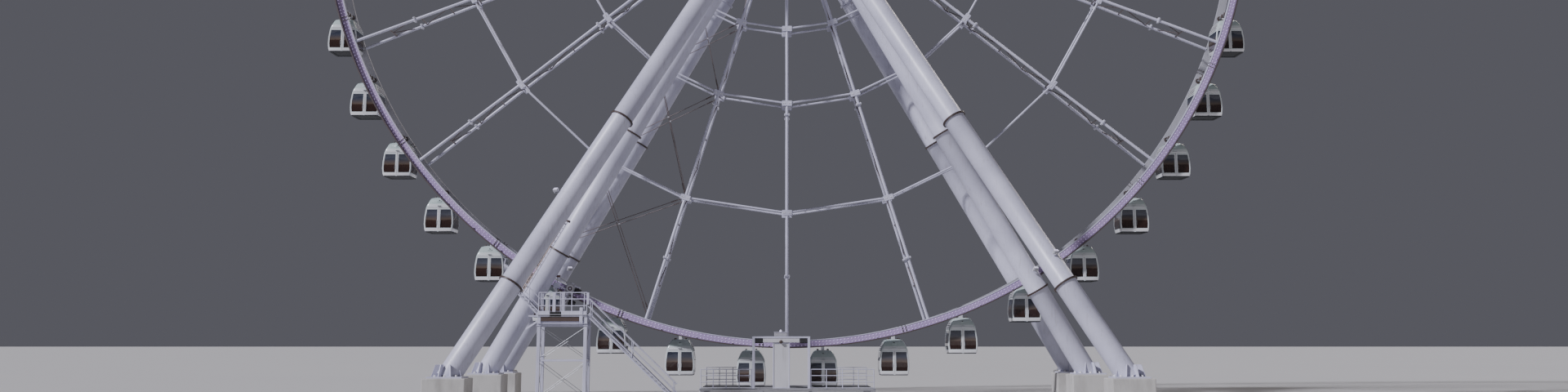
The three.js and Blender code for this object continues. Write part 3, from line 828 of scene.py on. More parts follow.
def roof_louvres():
    """White slats with dark strips between them, painted shade in the slots, on both sides of the roof."""
    parts = []
    for side in (-1, 1):
        for n, z in enumerate(LOUVRE_HEIGHTS):
            out, facing = side_of_roof(z)
            facing.x *= side
            half = REAR * (LOUVRE_HALF - LOUVRE_TAPER * n)
            slat = at(side * out, 0, z)
            slot = slat - facing.cross(REAR * side) * LOUVRE_WIDE
            parts.append(beam(slat - half, slat + half, LOUVRE_WIDE, LOUVRE_WIDE, TRIM, facing))
            # Painted shade: a thin black strip in the slot beside each slat.
            parts.append(beam(slot - half, slot + half, LOUVRE_WIDE, SHADE_STRIP_THICK, SEAM_AND_SHADE, facing))
    return parts


def door_fittings():
    """Two handles and a rail over the doors, on both ends of the cabin."""
    parts = []
    for side in (-1, 1):
        y = side * HANDLE_OFFSET
        for x in (-HANDLE_X, HANDLE_X):
            parts.append(plate((x - 0.012, y - 0.012, -2.05), (x + 0.012, y + 0.012, -1.8), STEEL, 0.004))
        y = side * DOOR_RAIL_OFFSET
        parts.append(plate((-0.66, y - 0.02, -1.03), (0.66, y + 0.02, -0.975), TRIM, 0.01))
    return parts


def cabins():
    body = cabin_body()
    cabin_panels(body)
    let_go()
    pane_heights(body)
    smooth(body, 28)
    pattern = join("cabin_pattern", [body, *cabin_hanger(), *roof_louvres(), *door_fittings()])
    for name in CABINS:
        cabin = copy_of(pattern, Matrix.Translation(PIVOTS[f"{name}_pivot"]))
        cabin.name = f"{name}_dressed"
        hand_over(cabin, f"{name}_body", "cabin_shell", name)
    drop(pattern)


# The rims.

RIM_SEGMENTS = 252
RIM_JOINT_TURN = math.radians(-3.1)
RIM_JOINT_HALF = 0.0035
RIM_JOINT_BOLTS = (-0.14, 0.0, 0.14)
CHANNEL_EDGE = 0.045
CHANNEL_DEPTH = 0.02
LAMP_ROWS = (-0.09, 0.09)
LAMP_COUNT = 840
LAMP_PROFILE = [(0.032, 0), (0.03, 0.012), (0.014, 0.022)]
SADDLE_PROFILE = [(0.15, 0), (0.15, 0.05)]
SADDLE_BORE = 0.085
RAIL_BRACKETS = 4 * SPOKES


def ring(name, inner, outer, y_front, y_back, finishes):
    """A round hoop of box section about the hub's axis."""
    let_go()
    bpy.ops.mesh.primitive_circle_add(
        vertices=RIM_SEGMENTS, radius=inner, fill_type="NOTHING",
        location=(HUB.x, y_front, HUB.z), rotation=(math.pi / 2, 0, 0))
    piece = settle(bpy.context.object, name)
    paint(piece, *finishes)
    bpy.ops.object.mode_set(mode="EDIT")
    bpy.ops.mesh.select_all(action="SELECT")
    bpy.ops.mesh.extrude_edges_move()
    bpy.ops.transform.resize(value=(outer / inner, 1, outer / inner))
    bpy.ops.mesh.select_all(action="SELECT")
    bpy.ops.mesh.extrude_region_move(TRANSFORM_OT_translate={"value": (0, y_back - y_front, 0)})
    bpy.ops.mesh.select_all(action="SELECT")
    bpy.ops.mesh.normals_make_consistent(inside=False)
    return piece


def lit_channel(rim):
    """The shallow channel in the front rim's face, mauve as painted light, and its dark outer edge."""
    pick(rim, lambda f: f.normal.y < -0.9)
    bpy.ops.mesh.inset(thickness=CHANNEL_EDGE, use_boundary=True)
    bpy.ops.mesh.inset(thickness=0.008, depth=-CHANNEL_DEPTH, use_boundary=True)
    # Painted light: the channel is given the mauve of the lit face.
    finish_faces(rim, MAUVE_PAINTED_LIGHT)
    pick(rim, lambda f: abs(f.normal.y) < 0.1 and (middle(f) - HUB).xz.length > RIM_OUTER - 0.004)
    finish_faces(rim, MAROON)


def rim_joint(angle, front, back):
    """Two bolted splice plates round a rim, at one angle."""
    deep = (back - front) / 2 + 0.012
    tall = (RIM_OUTER - RIM_INNER) / 2 + 0.02
    parts = []
    for turn in (angle - RIM_JOINT_HALF, angle + RIM_JOINT_HALF):
        centre = on_wheel(turn, PIVOT_RADIUS, (front + back) / 2)
        splice_plate = plate((-0.022, -deep, -tall), (0.022, deep, tall), DARK_STEEL_AND_SHADE)
        parts.append(put(splice_plate, centre, outward(turn)))
        for along in RIM_JOINT_BOLTS:
            for side in (-1, 1):
                spot = Matrix.Translation(centre) @ lay_along(outward(turn)) @ at(0, side * deep, along)
                parts.append(bolt(spot, REAR * side, 0.04))
    return parts


def pivot_saddles():
    """The dark saddles on the rims' inner faces that hold the cabins' shafts."""
    pattern = {}
    for side in (-1, 1):
        saddle = paint(pipe(SADDLE_PROFILE, SADDLE_BORE, 20), BEARING)
        pattern[side] = put(saddle, at(0, side * RIM_INSIDE, 0), REAR * -side)
    saddles = []
    for name in CABINS:
        for side in (-1, 1):
            saddles.append(copy_of(pattern[side], Matrix.Translation(PIVOTS[f"{name}_pivot"])))
    drop(*pattern.values())
    hand_over(join("pivot_saddles", saddles), "wheel", "grey_steel")


def rims():
    front = ring("rim_front_lit", RIM_INNER, RIM_OUTER, -RIM_FACE, -RIM_INSIDE, [WHITE, MAUVE_PAINTED_LIGHT, MAROON])
    lit_channel(front)
    rear = ring("rim_rear_plain", RIM_INNER, RIM_OUTER, RIM_INSIDE, RIM_FACE, [GREY])
    hand_over(smooth(front, 30), "wheel", "lit_rim", "rim_front")
    hand_over(smooth(rear, 30), "wheel", "grey_steel", "rim_rear")
    running_rail()
    front_parts, rear_parts = [], []
    for i in range(SPOKES):
        angle = i * SPOKE_PITCH + RIM_JOINT_TURN
        front_parts += rim_joint(angle, -RIM_FACE, -RIM_INSIDE)
        rear_parts += rim_joint(angle, RIM_INSIDE, RIM_FACE)
    hand_over(join("rim_front_joints", front_parts), "wheel", "lit_rim")
    hand_over(join("rim_rear_joints", rear_parts), "wheel", "grey_steel")
    pivot_saddles()
    rim_lamps()


def running_rail():
    """The plate that the drive tyres squeeze, on small brackets from the rim's face."""
    plate_inner = RIM_OUTER - RAIL_PLATE
    rail = ring("rail", plate_inner, RIM_OUTER + 0.008, RAIL_END, -RIM_FACE + 0.008, [DARK_STEEL_AND_SHADE])
    parts = [smooth(rail, 30)]
    bracket = plate((-0.015, -0.03, -0.035), (0.015, 0.03, 0.035), DARK_STEEL_AND_SHADE, 0.004)
    for i in range(RAIL_BRACKETS):
        angle = (i + 0.5) * 2 * math.pi / RAIL_BRACKETS
        place = on_wheel(angle, plate_inner - 0.03, -RIM_FACE - 0.012)
        parts.append(copy_of(bracket, Matrix.Translation(place) @ lay_along(outward(angle))))
    drop(bracket)
    hand_over(join("running_rail", parts), "wheel", "lit_rim", "rim_front")


def rim_lamps():
    """Two rows of small domed lamps in the front rim's channel."""
    dome = paint(turned(LAMP_PROFILE, 6), LAMPS)
    facing = lay_along(-REAR)
    places = []
    for row in LAMP_ROWS:
        for i in range(LAMP_COUNT):
            spot = on_wheel(2 * math.pi * i / LAMP_COUNT, PIVOT_RADIUS + row, -RIM_FACE + CHANNEL_DEPTH)
            places.append(Matrix.Translation(spot) @ facing)
    whole = many("rim_lamp_rows", dome, places)
    drop(dome)
    hand_over(whole, "wheel", "lit_rim")


# The spokes, their bracing and the cables. Radii are taken from the hub's axis.

STRUT = 0.12
RUNG = 0.1
FINE_RUNG = 0.085
HUB_RUNG = 0.3
DIAGONAL = 0.06
LAST_BRACE = 1.2
FINE_RUNG_RADII = [3.6, 7.5, 11.1, 12.7, 14.5, 16.8, 18.6, 20.4, 22.2, 24.0]
RUNG_RADII = [5.7, 9.4, 14.0, 20.6, 26.0]
SPLICE_RADII = [14.7, 24.35]
SPLICE_HALF = 0.17
SPLICE_BOLTS = (-0.12, 0.12)
STRUT_RADII = [9.4, 14.0, 20.6]
GUSSET = (0.3, 0.012, 0.16)
GUSSET_BOLTS = (-0.22, -0.13, 0.13, 0.22)
CABLE_PANELS = (-2, 5, 12)
CABLE_NODES = [2.3, 9.4, 14.0, 20.6, 27.9]
CABLE_THICK = 0.045
CABLE_INSET = 0.12
SOCKET_LONG = 0.3
TENSIONER = (0.38, 0.75)


def chord_offset(radius):
    """How far a chord lies from the wheel's middle plane. The chords spread near the rims."""
    share = max(0.0, (radius - SPREAD_FROM) / (RIM_INNER - SPREAD_FROM))
    return CHORD_OFFSET + share * (CHORD_SPREAD - CHORD_OFFSET)


def across_spoke(angle, radius):
    """The places on a spoke's front and rear chords at one radius."""
    return [on_wheel(angle, radius, side * chord_offset(radius)) for side in (-1, 1)]


def spoke_tubes(angle):
    """A spoke's round chords and main rungs, and its struts to the next spoke."""
    parts = []
    for side in (-1, 1):
        bends = [on_wheel(angle, r, side * chord_offset(r)) for r in (HUB_FLANGE, SPREAD_FROM, RIM_INNER)]
        for start, end in zip(bends, bends[1:]):
            parts.append(tube(start, end, CHORD, WHITE))
        for radius in STRUT_RADII:
            start = on_wheel(angle, radius, side * CHORD_OFFSET)
            end = on_wheel(angle + SPOKE_PITCH, radius, side * CHORD_OFFSET)
            parts.append(tube(start, end, STRUT, WHITE))
    # Painted shade: the main rungs take the dark finish for the shade they stand in.
    for radius in RUNG_RADII:
        parts.append(tube(*across_spoke(angle, radius), RUNG, DARK_STEEL_AND_SHADE))
    ends = across_spoke(angle, HUB_FLANGE + HUB_RUNG / 2)
    parts.append(beam(*ends, CHORD, HUB_RUNG, WHITE, outward(angle)))
    return parts


def spoke_groups():
    for node in sorted(name for name in frame["nodes"] if name.startswith("spokes_")):
        first, last = (int(number) for number in node.removeprefix("spokes_").split("_to_"))
        parts = []
        for i in range(first - 1, last):
            parts += spoke_tubes(i * SPOKE_PITCH)
        hand_over(join(f"{node}_round", parts), "wheel", "white_steel", node)


def diagonals(angle, low, high, way):
    """One diagonal across a bay, or two from the middle of the last main rung."""
    edge_of = lambda radius: chord_offset(radius) - DIAGONAL
    runs = [((low, way * edge_of(low)), (high, -way * edge_of(high)))]
    if high == RUNG_RADII[-1]:
        inner = high - LAST_BRACE
        runs = [((high, 0), (inner, side * edge_of(inner))) for side in (-1, 1)]
    square = at(math.cos(angle), 0, math.sin(angle))
    return [rod(on_wheel(angle, *start), on_wheel(angle, *end), DIAGONAL, DARK_STEEL_AND_SHADE, square)
            for start, end in runs]


def ladder_bracing():
    """Finer rungs, and the diagonals between each spoke's front and rear chords."""
    parts = []
    radii = sorted(FINE_RUNG_RADII + RUNG_RADII)
    for i in range(SPOKES):
        angle = i * SPOKE_PITCH
        # Painted shade: the finer rungs take the dark finish for the shade they stand in.
        for radius in FINE_RUNG_RADII:
            parts.append(rod(*across_spoke(angle, radius), FINE_RUNG, DARK_STEEL_AND_SHADE))
        for n, (low, high) in enumerate(zip(radii, radii[1:])):
            parts += diagonals(angle, low, high, 1 if n % 2 else -1)
    hand_over(join("spoke_bracing", parts), "wheel", "white_steel")


def splice(radius, side):
    """A bolted flange pair on a chord of the lowest spoke."""
    down = outward(0)
    turn = Matrix.Translation(on_wheel(0, radius, side * chord_offset(radius))) @ lay_along(down)
    parts = []
    for low in (-0.035, 0.005):
        flange = plate((-SPLICE_HALF, -SPLICE_HALF, low), (SPLICE_HALF, SPLICE_HALF, low + 0.03), WHITE)
        flange.data.transform(turn)
        parts.append(flange)
    for x in SPLICE_BOLTS:
        for y in SPLICE_BOLTS:
            parts.append(bolt(turn @ at(x, y, 0.035), down, 0.075))
            parts.append(bolt(turn @ at(x, y, -0.035), -down, 0.075))
    return parts


def strut_joint(radius, side):
    """Gusset plates and bolts where two struts meet a chord of the lowest spoke."""
    turn = Matrix.Translation(on_wheel(0, radius, side * CHORD_OFFSET)) @ lay_along(outward(0))
    half_wide, half_thick, half_tall = GUSSET
    parts = []
    for way in (-1, 1):
        y = way * (CHORD / 2 + 0.01)
        gusset = plate((-half_wide, y - half_thick, -half_tall), (half_wide, y + half_thick, half_tall),
                       WHITE, 0.008)
        edit(gusset)
        pick(gusset, lambda e: abs(edge_run(e).y) > 0.9, "EDGE")
        bpy.ops.mesh.bevel(offset=0.06, segments=1, affect="EDGES")
        let_go()
        gusset.data.transform(turn)
        parts.append(gusset)
        for x in GUSSET_BOLTS:
            parts.append(bolt(turn @ at(x, y + way * half_thick, 0), REAR * way, 0.06))
    return parts


def spoke_fittings():
    patterns = []
    for side in (-1, 1):
        patterns += [join("splice", splice(radius, side)) for radius in SPLICE_RADII]
        patterns += [join("strut_joint", strut_joint(radius, side)) for radius in STRUT_RADII]
    parts = []
    for pattern in patterns:
        for i in range(SPOKES):
            turn = Matrix.Rotation(-i * SPOKE_PITCH, 4, "Y")
            parts.append(copy_of(pattern, Matrix.Translation(HUB) @ turn @ Matrix.Translation(-HUB)))
    drop(*patterns)
    hand_over(join("spoke_fittings", parts), "wheel", "white_steel")


def cable(start, end):
    """A taut cable with a socket and a tensioner near each end."""
    run = (end - start).normalized()
    start, end = start + run * CABLE_INSET, end - run * CABLE_INSET
    parts = [rod(start, end, CABLE_THICK, DARK_STEEL_AND_SHADE)]
    for point, way in ((start, run), (end, -run)):
        tensioner = [point + way * reach for reach in TENSIONER]
        parts.append(rod(point, point + way * SOCKET_LONG, CABLE_THICK * 1.5, DARK_STEEL_AND_SHADE))
        parts.append(beam(*tensioner, CABLE_THICK * 1.8, CABLE_THICK * 1.3, DARK_STEEL_AND_SHADE))
    return parts


def crossed_cables(panel, low, high, side):
    """Two cables that cross in one bay of a panel, and the clamp where they meet."""
    parts = []
    for first, second in ((0, 1), (1, 0)):
        layer = first * CABLE_THICK * 1.2
        start = on_wheel((panel + first) * SPOKE_PITCH, low, side * (chord_offset(low) + layer))
        end = on_wheel((panel + second) * SPOKE_PITCH, high, side * (chord_offset(high) + layer))
        parts += cable(start, end)
    cross = 2 * low * high / (low + high) * math.cos(SPOKE_PITCH / 2)
    spot = on_wheel((panel + 0.5) * SPOKE_PITCH, cross, side * (chord_offset(cross) + CABLE_THICK * 0.6))
    parts.append(beam(spot - REAR * 0.05, spot + REAR * 0.05, 0.09, 0.09, GREY, UP))
    return parts


def cables():
    """Crossed tie cables, front and rear, in three panels of the wheel."""
    for n, panel in enumerate(CABLE_PANELS):
        parts = []
        for low, high in zip(CABLE_NODES, CABLE_NODES[1:]):
            for side in (-1, 1):
                parts += crossed_cables(panel, low, high, side)
        hand_over(join(f"tie_cables_{n + 1}", parts), "wheel", "white_steel")


# The hub, the axle heads and the legs.

HUB_BARREL = 0.95
HUB_END = 1.24
HUB_LIP = 0.05
FLANGE_IN = 0.68
FLANGE_OUT = 1.08
STRAP_OUT = 1.1
STRAP_ENDS = (1.35, 2.45)
STRAP_WIDE = 0.34
STRAP_THICK = 0.04
STRAP_BOLT_RADII = (1.5, 1.7, 2.1, 2.3)
FLANGE_BOLT_RADIUS = 1.2
END_BOLT_RADIUS = 0.78
AXLE_GAP = 0.008
LEG_SIDES = 48
RING_RADIUS = 0.7
RING_THICK = 0.045
RING_SEAM = 0.012
RING_WELD = 0.02
RING_BOLTS = 28
PLINTH_HALF = 1.1
BASE_HALF = 0.9
BASE_THICK = 0.08
BASE_RIBS = 8
RIB_IN = 0.4
RIB_OUT = 0.84
RIB_TALL = 0.6
ANCHOR_RADIUS = 0.76
AXLE_HALF = 1.8
HEAD_FACE = 3.22
HEAD_CAP = 3.26
HEAD_PROFILE = [
    (0.98, 1.75), (1.05, 1.82), (1.05, 3.12), (1.0, HEAD_FACE), (0.82, HEAD_FACE), (0.82, HEAD_CAP),
    (0.5, 3.3),
]


def hub():
    """A barrel with two flanges, and a strap on each for every spoke."""
    barrel, lip, flange = HUB_BARREL, HUB_LIP, HUB_FLANGE
    profile = [
        (barrel - lip, -HUB_END), (barrel, -HUB_END + lip), (barrel, -FLANGE_OUT), (flange, -FLANGE_OUT),
        (flange, -FLANGE_IN), (barrel, -FLANGE_IN), (barrel, FLANGE_IN), (flange, FLANGE_IN),
        (flange, FLANGE_OUT), (barrel, FLANGE_OUT), (barrel, HUB_END - lip), (barrel - lip, HUB_END),
    ]
    parts = [paint(put(pipe(profile, AXLE_RADIUS + AXLE_GAP, 84), HUB, REAR), WHITE)]
    for side in (-1, 1):
        way = REAR * side
        parts += bolt_ring(HUB + way * FLANGE_OUT, way, FLANGE_BOLT_RADIUS, 2 * SPOKES, 0.09)
        parts += bolt_ring(HUB + way * HUB_END, way, END_BOLT_RADIUS, 24, 0.08)
        for i in range(SPOKES):
            angle = i * SPOKE_PITCH
            start, end = (on_wheel(angle, radius, side * STRAP_OUT) for radius in STRAP_ENDS)
            parts.append(beam(start, end, STRAP_WIDE, STRAP_THICK, WHITE))
            for radius in STRAP_BOLT_RADII:
                spot = on_wheel(angle, radius, side * (STRAP_OUT + STRAP_THICK / 2))
                parts.append(bolt(spot, way, 0.08))
    hand_over(join("hub_dressed", parts), "wheel", "white_steel", "hub")


def leg_names():
    ends, ranks, sides = ("front", "rear"), ("outer", "inner"), ("left", "right")
    return [f"{end}_{rank}_{side}" for end in ends for rank in ranks for side in sides]


def leg_line(name):
    """A leg's top, level with the hub, and how far it runs for each metre down."""
    plinth = MOUNTS[f"plinth_{name}"]
    top = at(0, -LEG_PLANE if name.startswith("front") else LEG_PLANE, HUB.z)
    foot = at(plinth.x, plinth.y, PLINTH_TOP)
    return top, (foot - top) / (top.z - foot.z)


def flange_steps(height):
    """The outline of a pair of flange rings round a tube, with the weld at each."""
    wide, inside = LEG_RADIUS + RING_WELD, RING_RADIUS - RING_WELD
    below, above = height - RING_THICK, height + RING_THICK
    seam_low, seam_high = height - RING_SEAM, height + RING_SEAM
    return [
        (LEG_RADIUS, below - 2 * RING_WELD), (wide, below - RING_WELD / 2), (wide, below),
        (RING_RADIUS, below), (RING_RADIUS, seam_low), (inside, seam_low),
        (inside, seam_high), (RING_RADIUS, seam_high), (RING_RADIUS, above),
        (wide, above), (wide, above + RING_WELD / 2), (LEG_RADIUS, above + 2 * RING_WELD),
    ]


def ring_bolts(place, direction):
    radius = (LEG_RADIUS + RING_RADIUS) / 2 + 0.012
    bolts = []
    for way in (direction, -direction):
        bolts += bolt_ring(place + way * RING_THICK, way, radius, RING_BOLTS, 0.034)
    return [paint(piece, BEARING) for piece in bolts]


def leg(name):
    """A leg's tube below its stub, with two pairs of flange rings, and its foot."""
    top, slope = leg_line(name)
    direction, length = slope.normalized(), slope.length
    drops = [UPPER_RING_DROP, INNER_LEFT_RING_DROP if name.endswith("inner_left") else LOWER_RING_DROP]
    levels = [ring_drop * length for ring_drop in drops]
    start = STUB_DROP * length
    ring_end = start + RING_THICK
    profile = [(RING_RADIUS, start + 0.008), (RING_RADIUS, ring_end), (LEG_RADIUS, ring_end)]
    for level in levels:
        profile += flange_steps(level)
    profile.append((LEG_RADIUS, (HUB.z - PLINTH_TOP) * length + 0.1))
    leg_tube = paint(turned(profile, LEG_SIDES), WHITE, BEARING)
    edit(leg_tube)
    # The flange rings and their welds take the dark brown finish all over.
    pick(leg_tube, lambda f: any(abs(middle(f).z - level) < RING_THICK + 0.001 for level in levels))
    finish_faces(leg_tube, BEARING)
    let_go()
    parts = [put(leg_tube, top, direction)]
    for ring_drop in drops:
        parts += ring_bolts(top + slope * ring_drop, direction)
    whole = join(f"leg_{name}_dressed", parts + foot_of(name))
    node = f"leg_{name}" if "outer" in name else "axle_and_inner_legs"
    hand_over(whole, "support", "white_steel", node)


def foot_of(name):
    """Plinth, base plate, stiffeners and holding-down bolts of a leg."""
    x, y, _ = MOUNTS[f"plinth_{name}"]
    half, wide, top = PLINTH_HALF, BASE_HALF, PLINTH_TOP
    level = top + BASE_THICK
    parts = [
        plate((x - half, y - half, 0), (x + half, y + half, top), CONCRETE, 0.05, 2),
        plate((x - wide, y - wide, top - 0.02), (x + wide, y + wide, level), WHITE, 0.012),
    ]
    for i in range(BASE_RIBS):
        angle = 2 * math.pi * (i + 0.5) / BASE_RIBS
        way = at(math.cos(angle), math.sin(angle), 0)
        rib = plate((-0.02, RIB_IN, 0), (0.02, RIB_OUT, RIB_TALL), WHITE)
        edit(rib)
        pick(rib, lambda corner: corner.co.y > 0.6 and corner.co.z > RIB_TALL / 2, "VERT")
        bpy.ops.transform.translate(value=(0, -0.2, 0))
        let_go()
        parts.append(put(rib, at(x, y, level), UP, way))
        beside = Matrix.Rotation(math.pi / BASE_RIBS, 4, "Z") @ way
        parts.append(bolt(at(x, y, level) + beside * ANCHOR_RADIUS, UP, 0.16))
    return parts


def axle():
    """The shaft, its two heads and the stubs that the legs are bolted to."""
    shaft = turned([(AXLE_RADIUS, -AXLE_HALF), (AXLE_RADIUS, AXLE_HALF)], 48)
    parts = [paint(put(shaft, HUB, REAR), STEEL)]
    for side in (-1, 1):
        way = REAR * side
        parts.append(paint(put(turned(HEAD_PROFILE, 48), HUB, way), WHITE))
        parts += bolt_ring(HUB + way * HEAD_FACE, way, 0.91, 24, 0.08)
        parts += bolt_ring(HUB + way * HEAD_CAP, way, 0.68, 12, 0.08)
    for name in leg_names():
        top, slope = leg_line(name)
        direction = slope.normalized()
        end = STUB_DROP * slope.length
        ring_low = end - RING_THICK
        stub = turned([
            (LEG_RADIUS, 0.2), (LEG_RADIUS, ring_low - 0.03), (LEG_RADIUS + 0.02, ring_low),
            (RING_RADIUS, ring_low), (RING_RADIUS, end),
        ], LEG_SIDES)
        parts.append(paint(put(stub, top, direction), WHITE))
        parts += ring_bolts(top + slope * STUB_DROP, direction)
    hand_over(join("axle_dressed", parts), "support", "white_steel", "axle_and_inner_legs")


# The drive platform, the drive and the boarding platform.

TYRE_ANGLE = math.radians(-26.8)
TYRE_RADIUS = 0.33
TYRE_BACK = -1.42
TYRE_WIDE = 0.2
TYRE_SHAFT_END = -1.695
TYRE_RIBS = 5
GROOVE_DEEP = 0.016
DRIVE_LEFT = -14.07
DRIVE_RIGHT = -11.25
DRIVE_FRONT = -5.2
DRIVE_BACK = -3.35
DRIVE_TOP = 4.96
DECK_SEAMS = (-13.13, -12.19)
JOISTS = (-13.6, -13.13, -12.66, -12.19, -11.72)
EDGE_PLATES = ((DRIVE_LEFT, -13.37), (-12.72, -11.29))
DRIVE_POST = 0.19
BRACE_HEIGHT = 2.3
GUARD = 1.1
GUARD_POSTS = (-13.4, -12.78, -12.15, -11.45)
STAIR_STEPS = 22
STAIR_TREAD = 0.24
STAIR_WIDTH = 0.9
CLIMB_STEPS = 6
CLIMB_FOOT = (-13.97, 4.84)
CLIMB_HEAD = (-15.13, 6.02)


def channel(start, end, depth, flange, finish, face=REAR):
    """A channel section: a web and two flanges standing away from its face."""
    up = (end - start).normalized().cross(face).normalized()
    parts = [beam(start, end, 0.02, depth, finish, face)]
    for side in (-1, 1):
        shift = up * side * (depth - 0.02) / 2 + face * flange / 2
        parts.append(beam(start + shift, end + shift, flange, 0.02, finish, face))
    return parts


def guard_rail(start, end, posts, heights, finish):
    """Posts with bolted foot plates, round rails and a toe board along an edge."""
    parts = []
    run = (end - start).normalized()
    for share in posts:
        foot = start.lerp(end, share)
        on_plate = foot + UP * 0.015
        parts.append(tube(foot, foot + UP * max(heights), 0.05, finish))
        parts.append(beam(foot, on_plate, 0.12, 0.12, finish, run))
        parts += [bolt(on_plate + run * side * 0.042, UP, 0.03) for side in (-1, 1)]
    for height in heights:
        parts.append(tube(start + UP * height, end + UP * height, 0.045, finish))
    lift = UP * 0.06
    parts.append(beam(start + lift, end + lift, 0.012, 0.1, finish, run.cross(UP)))
    return parts


def flight(foot, head, front, back, steps, rail_sides, finish):
    """Stringers, grated treads and handrails between two [x, z] places."""
    parts = []
    low, high = at(foot[0], 0, foot[1]), at(head[0], 0, head[1])
    for y, inward in ((front, REAR), (back, -REAR)):
        parts += channel(low + REAR * y, high + REAR * y, 0.18, 0.06, finish, inward)
    for i in range(1, steps):
        spot = low.lerp(high, i / steps)
        near, far = spot + REAR * (front + 0.03), spot + REAR * (back - 0.03)
        half = at(0.12, 0, 0.02)
        parts.append(plate(near - half, far + half, DECK, 0.004))
        parts += [tube(near + RIGHT * lip, far + RIGHT * lip, 0.022, STEEL) for lip in (-0.12, 0.12)]
    for y in rail_sides:
        for share in (0.03, 0.5, 0.97):
            spot = low.lerp(high, share) + REAR * y
            parts.append(tube(spot, spot + UP * 0.9, 0.045, finish))
        for height in (0.45, 0.9):
            parts.append(tube(low + at(0, y, height), high + at(0, y, height), 0.045, finish))
    return parts


def drive_deck():
    """Tread plates in a frame of channels, over joists."""
    low, high = (DRIVE_LEFT, DRIVE_FRONT, DRIVE_TOP - 0.06), (DRIVE_RIGHT, DRIVE_BACK, DRIVE_TOP)
    parts = [plate(low, high, DECK)]
    for x in DECK_SEAMS:
        parts.append(plate((x - 0.006, DRIVE_FRONT + 0.02, DRIVE_TOP - 0.01),
                           (x + 0.006, DRIVE_BACK - 0.02, DRIVE_TOP + 0.003), SEAM_AND_SHADE, 0.002))
    level = DRIVE_TOP - 0.13
    section = (0.22, 0.07, LIGHT_GREY)
    for y, face in ((DRIVE_FRONT + 0.01, REAR), (DRIVE_BACK - 0.01, -REAR)):
        parts += channel(at(DRIVE_LEFT, y, level), at(DRIVE_RIGHT, y, level), *section, face)
    for x, face in ((DRIVE_LEFT + 0.01, RIGHT), (DRIVE_RIGHT - 0.01, -RIGHT)):
        parts += channel(at(x, DRIVE_FRONT, level), at(x, DRIVE_BACK, level), *section, face)
    for x in JOISTS:
        start, end = at(x, DRIVE_FRONT + 0.05, level), at(x, DRIVE_BACK - 0.05, level)
        parts.append(beam(start, end, 0.06, 0.14, BEARING))
    return parts


def drive_edge():
    """Bolted plates along the front edge, the bearer and the two deep channels below it."""
    front = DRIVE_FRONT
    parts = []
    for left, right in EDGE_PLATES:
        parts.append(plate((left, front - 0.03, 4.71), (right, front, 5.03), WHITE, 0.012))
        for x in (left + 0.08, right - 0.08):
            parts += [bolt(at(x, front - 0.03, z), -REAR, 0.04) for z in (4.78, 4.96)]
    parts.append(plate((-13.36, front - 0.01, 4.74), (-12.73, front + 0.01, 4.98), SEAM_AND_SHADE))
    parts.append(plate((DRIVE_LEFT, front + 0.02, 4.46), (-11.72, front + 0.16, 4.7), BEARING, 0.01))
    for y in (front + 0.01, DRIVE_BACK - 0.19):
        parts += channel(at(DRIVE_LEFT, y, 4.34), at(DRIVE_RIGHT, y, 4.34), 0.19, 0.18, WHITE)
    return parts


def drive_posts():
    """Four posts that are bolted down, with crossed ties and a beam on each side."""
    parts = []
    rows = (DRIVE_FRONT + 0.1, DRIVE_BACK - 0.1)
    posts = [(x, y) for x in (DRIVE_LEFT + 0.1, DRIVE_RIGHT - 0.1) for y in rows]
    for x, y in posts:
        parts.append(beam(at(x, y, 0.03), at(x, y, 4.72), DRIVE_POST, DRIVE_POST, WHITE))
        for low, high, half in ((0, 0.035, 0.17), (4.2, 4.235, 0.13)):
            parts.append(plate((x - half, y - half, low), (x + half, y + half, high), WHITE))
        parts += bolt_grid((x - 0.13, x + 0.13), (y - 0.13, y + 0.13), 0.035, 0.05)
    for first, second in ((0, 1), (2, 3), (0, 2), (1, 3)):
        (xa, ya), (xb, yb) = posts[first], posts[second]
        side = at(yb - ya, xa - xb, 0)
        parts.append(beam(at(xa, ya, BRACE_HEIGHT), at(xb, yb, BRACE_HEIGHT), 0.1, 0.12, WHITE, side))
        for low, high in ((0.3, 2.2), (2.4, 4.15)):
            parts.append(rod(at(xa, ya, low), at(xb, yb, high), 0.03, STEEL))
            parts.append(rod(at(xb, yb, low), at(xa, ya, high), 0.03, STEEL))
    return parts


def drive_guards():
    """Railings at the front and the left, and the plates that stand in them."""
    heights = [GUARD * share for share in (0.33, 0.67, 1)]
    left, right, front, z = DRIVE_LEFT + 0.06, DRIVE_RIGHT - 0.05, DRIVE_FRONT + 0.06, DRIVE_TOP
    shares = [(x - left) / (right - left) for x in (left, *GUARD_POSTS, right)]
    side_front, side_back = at(left, DRIVE_FRONT + 0.95, z), at(left, DRIVE_BACK - 0.06, z)
    return [
        *guard_rail(at(left, front, z), at(right, front, z), shares, heights, WHITE),
        *guard_rail(side_front, side_back, (0, 0.5, 1), heights, WHITE),
        plate((-13.23, front - 0.04, z), (-13.06, front + 0.04, z + GUARD), WHITE, 0.01),
        plate((-11.3, front - 0.03, z + 0.42), (-11.18, front + 0.03, z + GUARD), WHITE, 0.01),
        plate((-11.69, front - 0.12, 4.4), (-11.51, front - 0.07, 5.22), WHITE, 0.012),
    ]


def leg_bracket():
    """The beams that tie the platform to the leg."""
    level = DRIVE_TOP - 0.18
    left = DRIVE_LEFT + 0.05
    runs = [
        (at(left + 0.05, -3.5, level), at(-14.82, -3.5, level), 0.1),
        (at(left + 0.05, -2.75, level), at(-14.78, -2.75, level), 0.1),
        (at(left, -3.5, level), at(left, -2.7, level), 0.1),
        (at(-14.1, -3.5, 4.62), at(-15.0, -3.12, 4.05), 0.12),
    ]
    return [beam(start, end, 0.1, depth, WHITE) for start, end, depth in runs]


# The drive in front of the tyres.

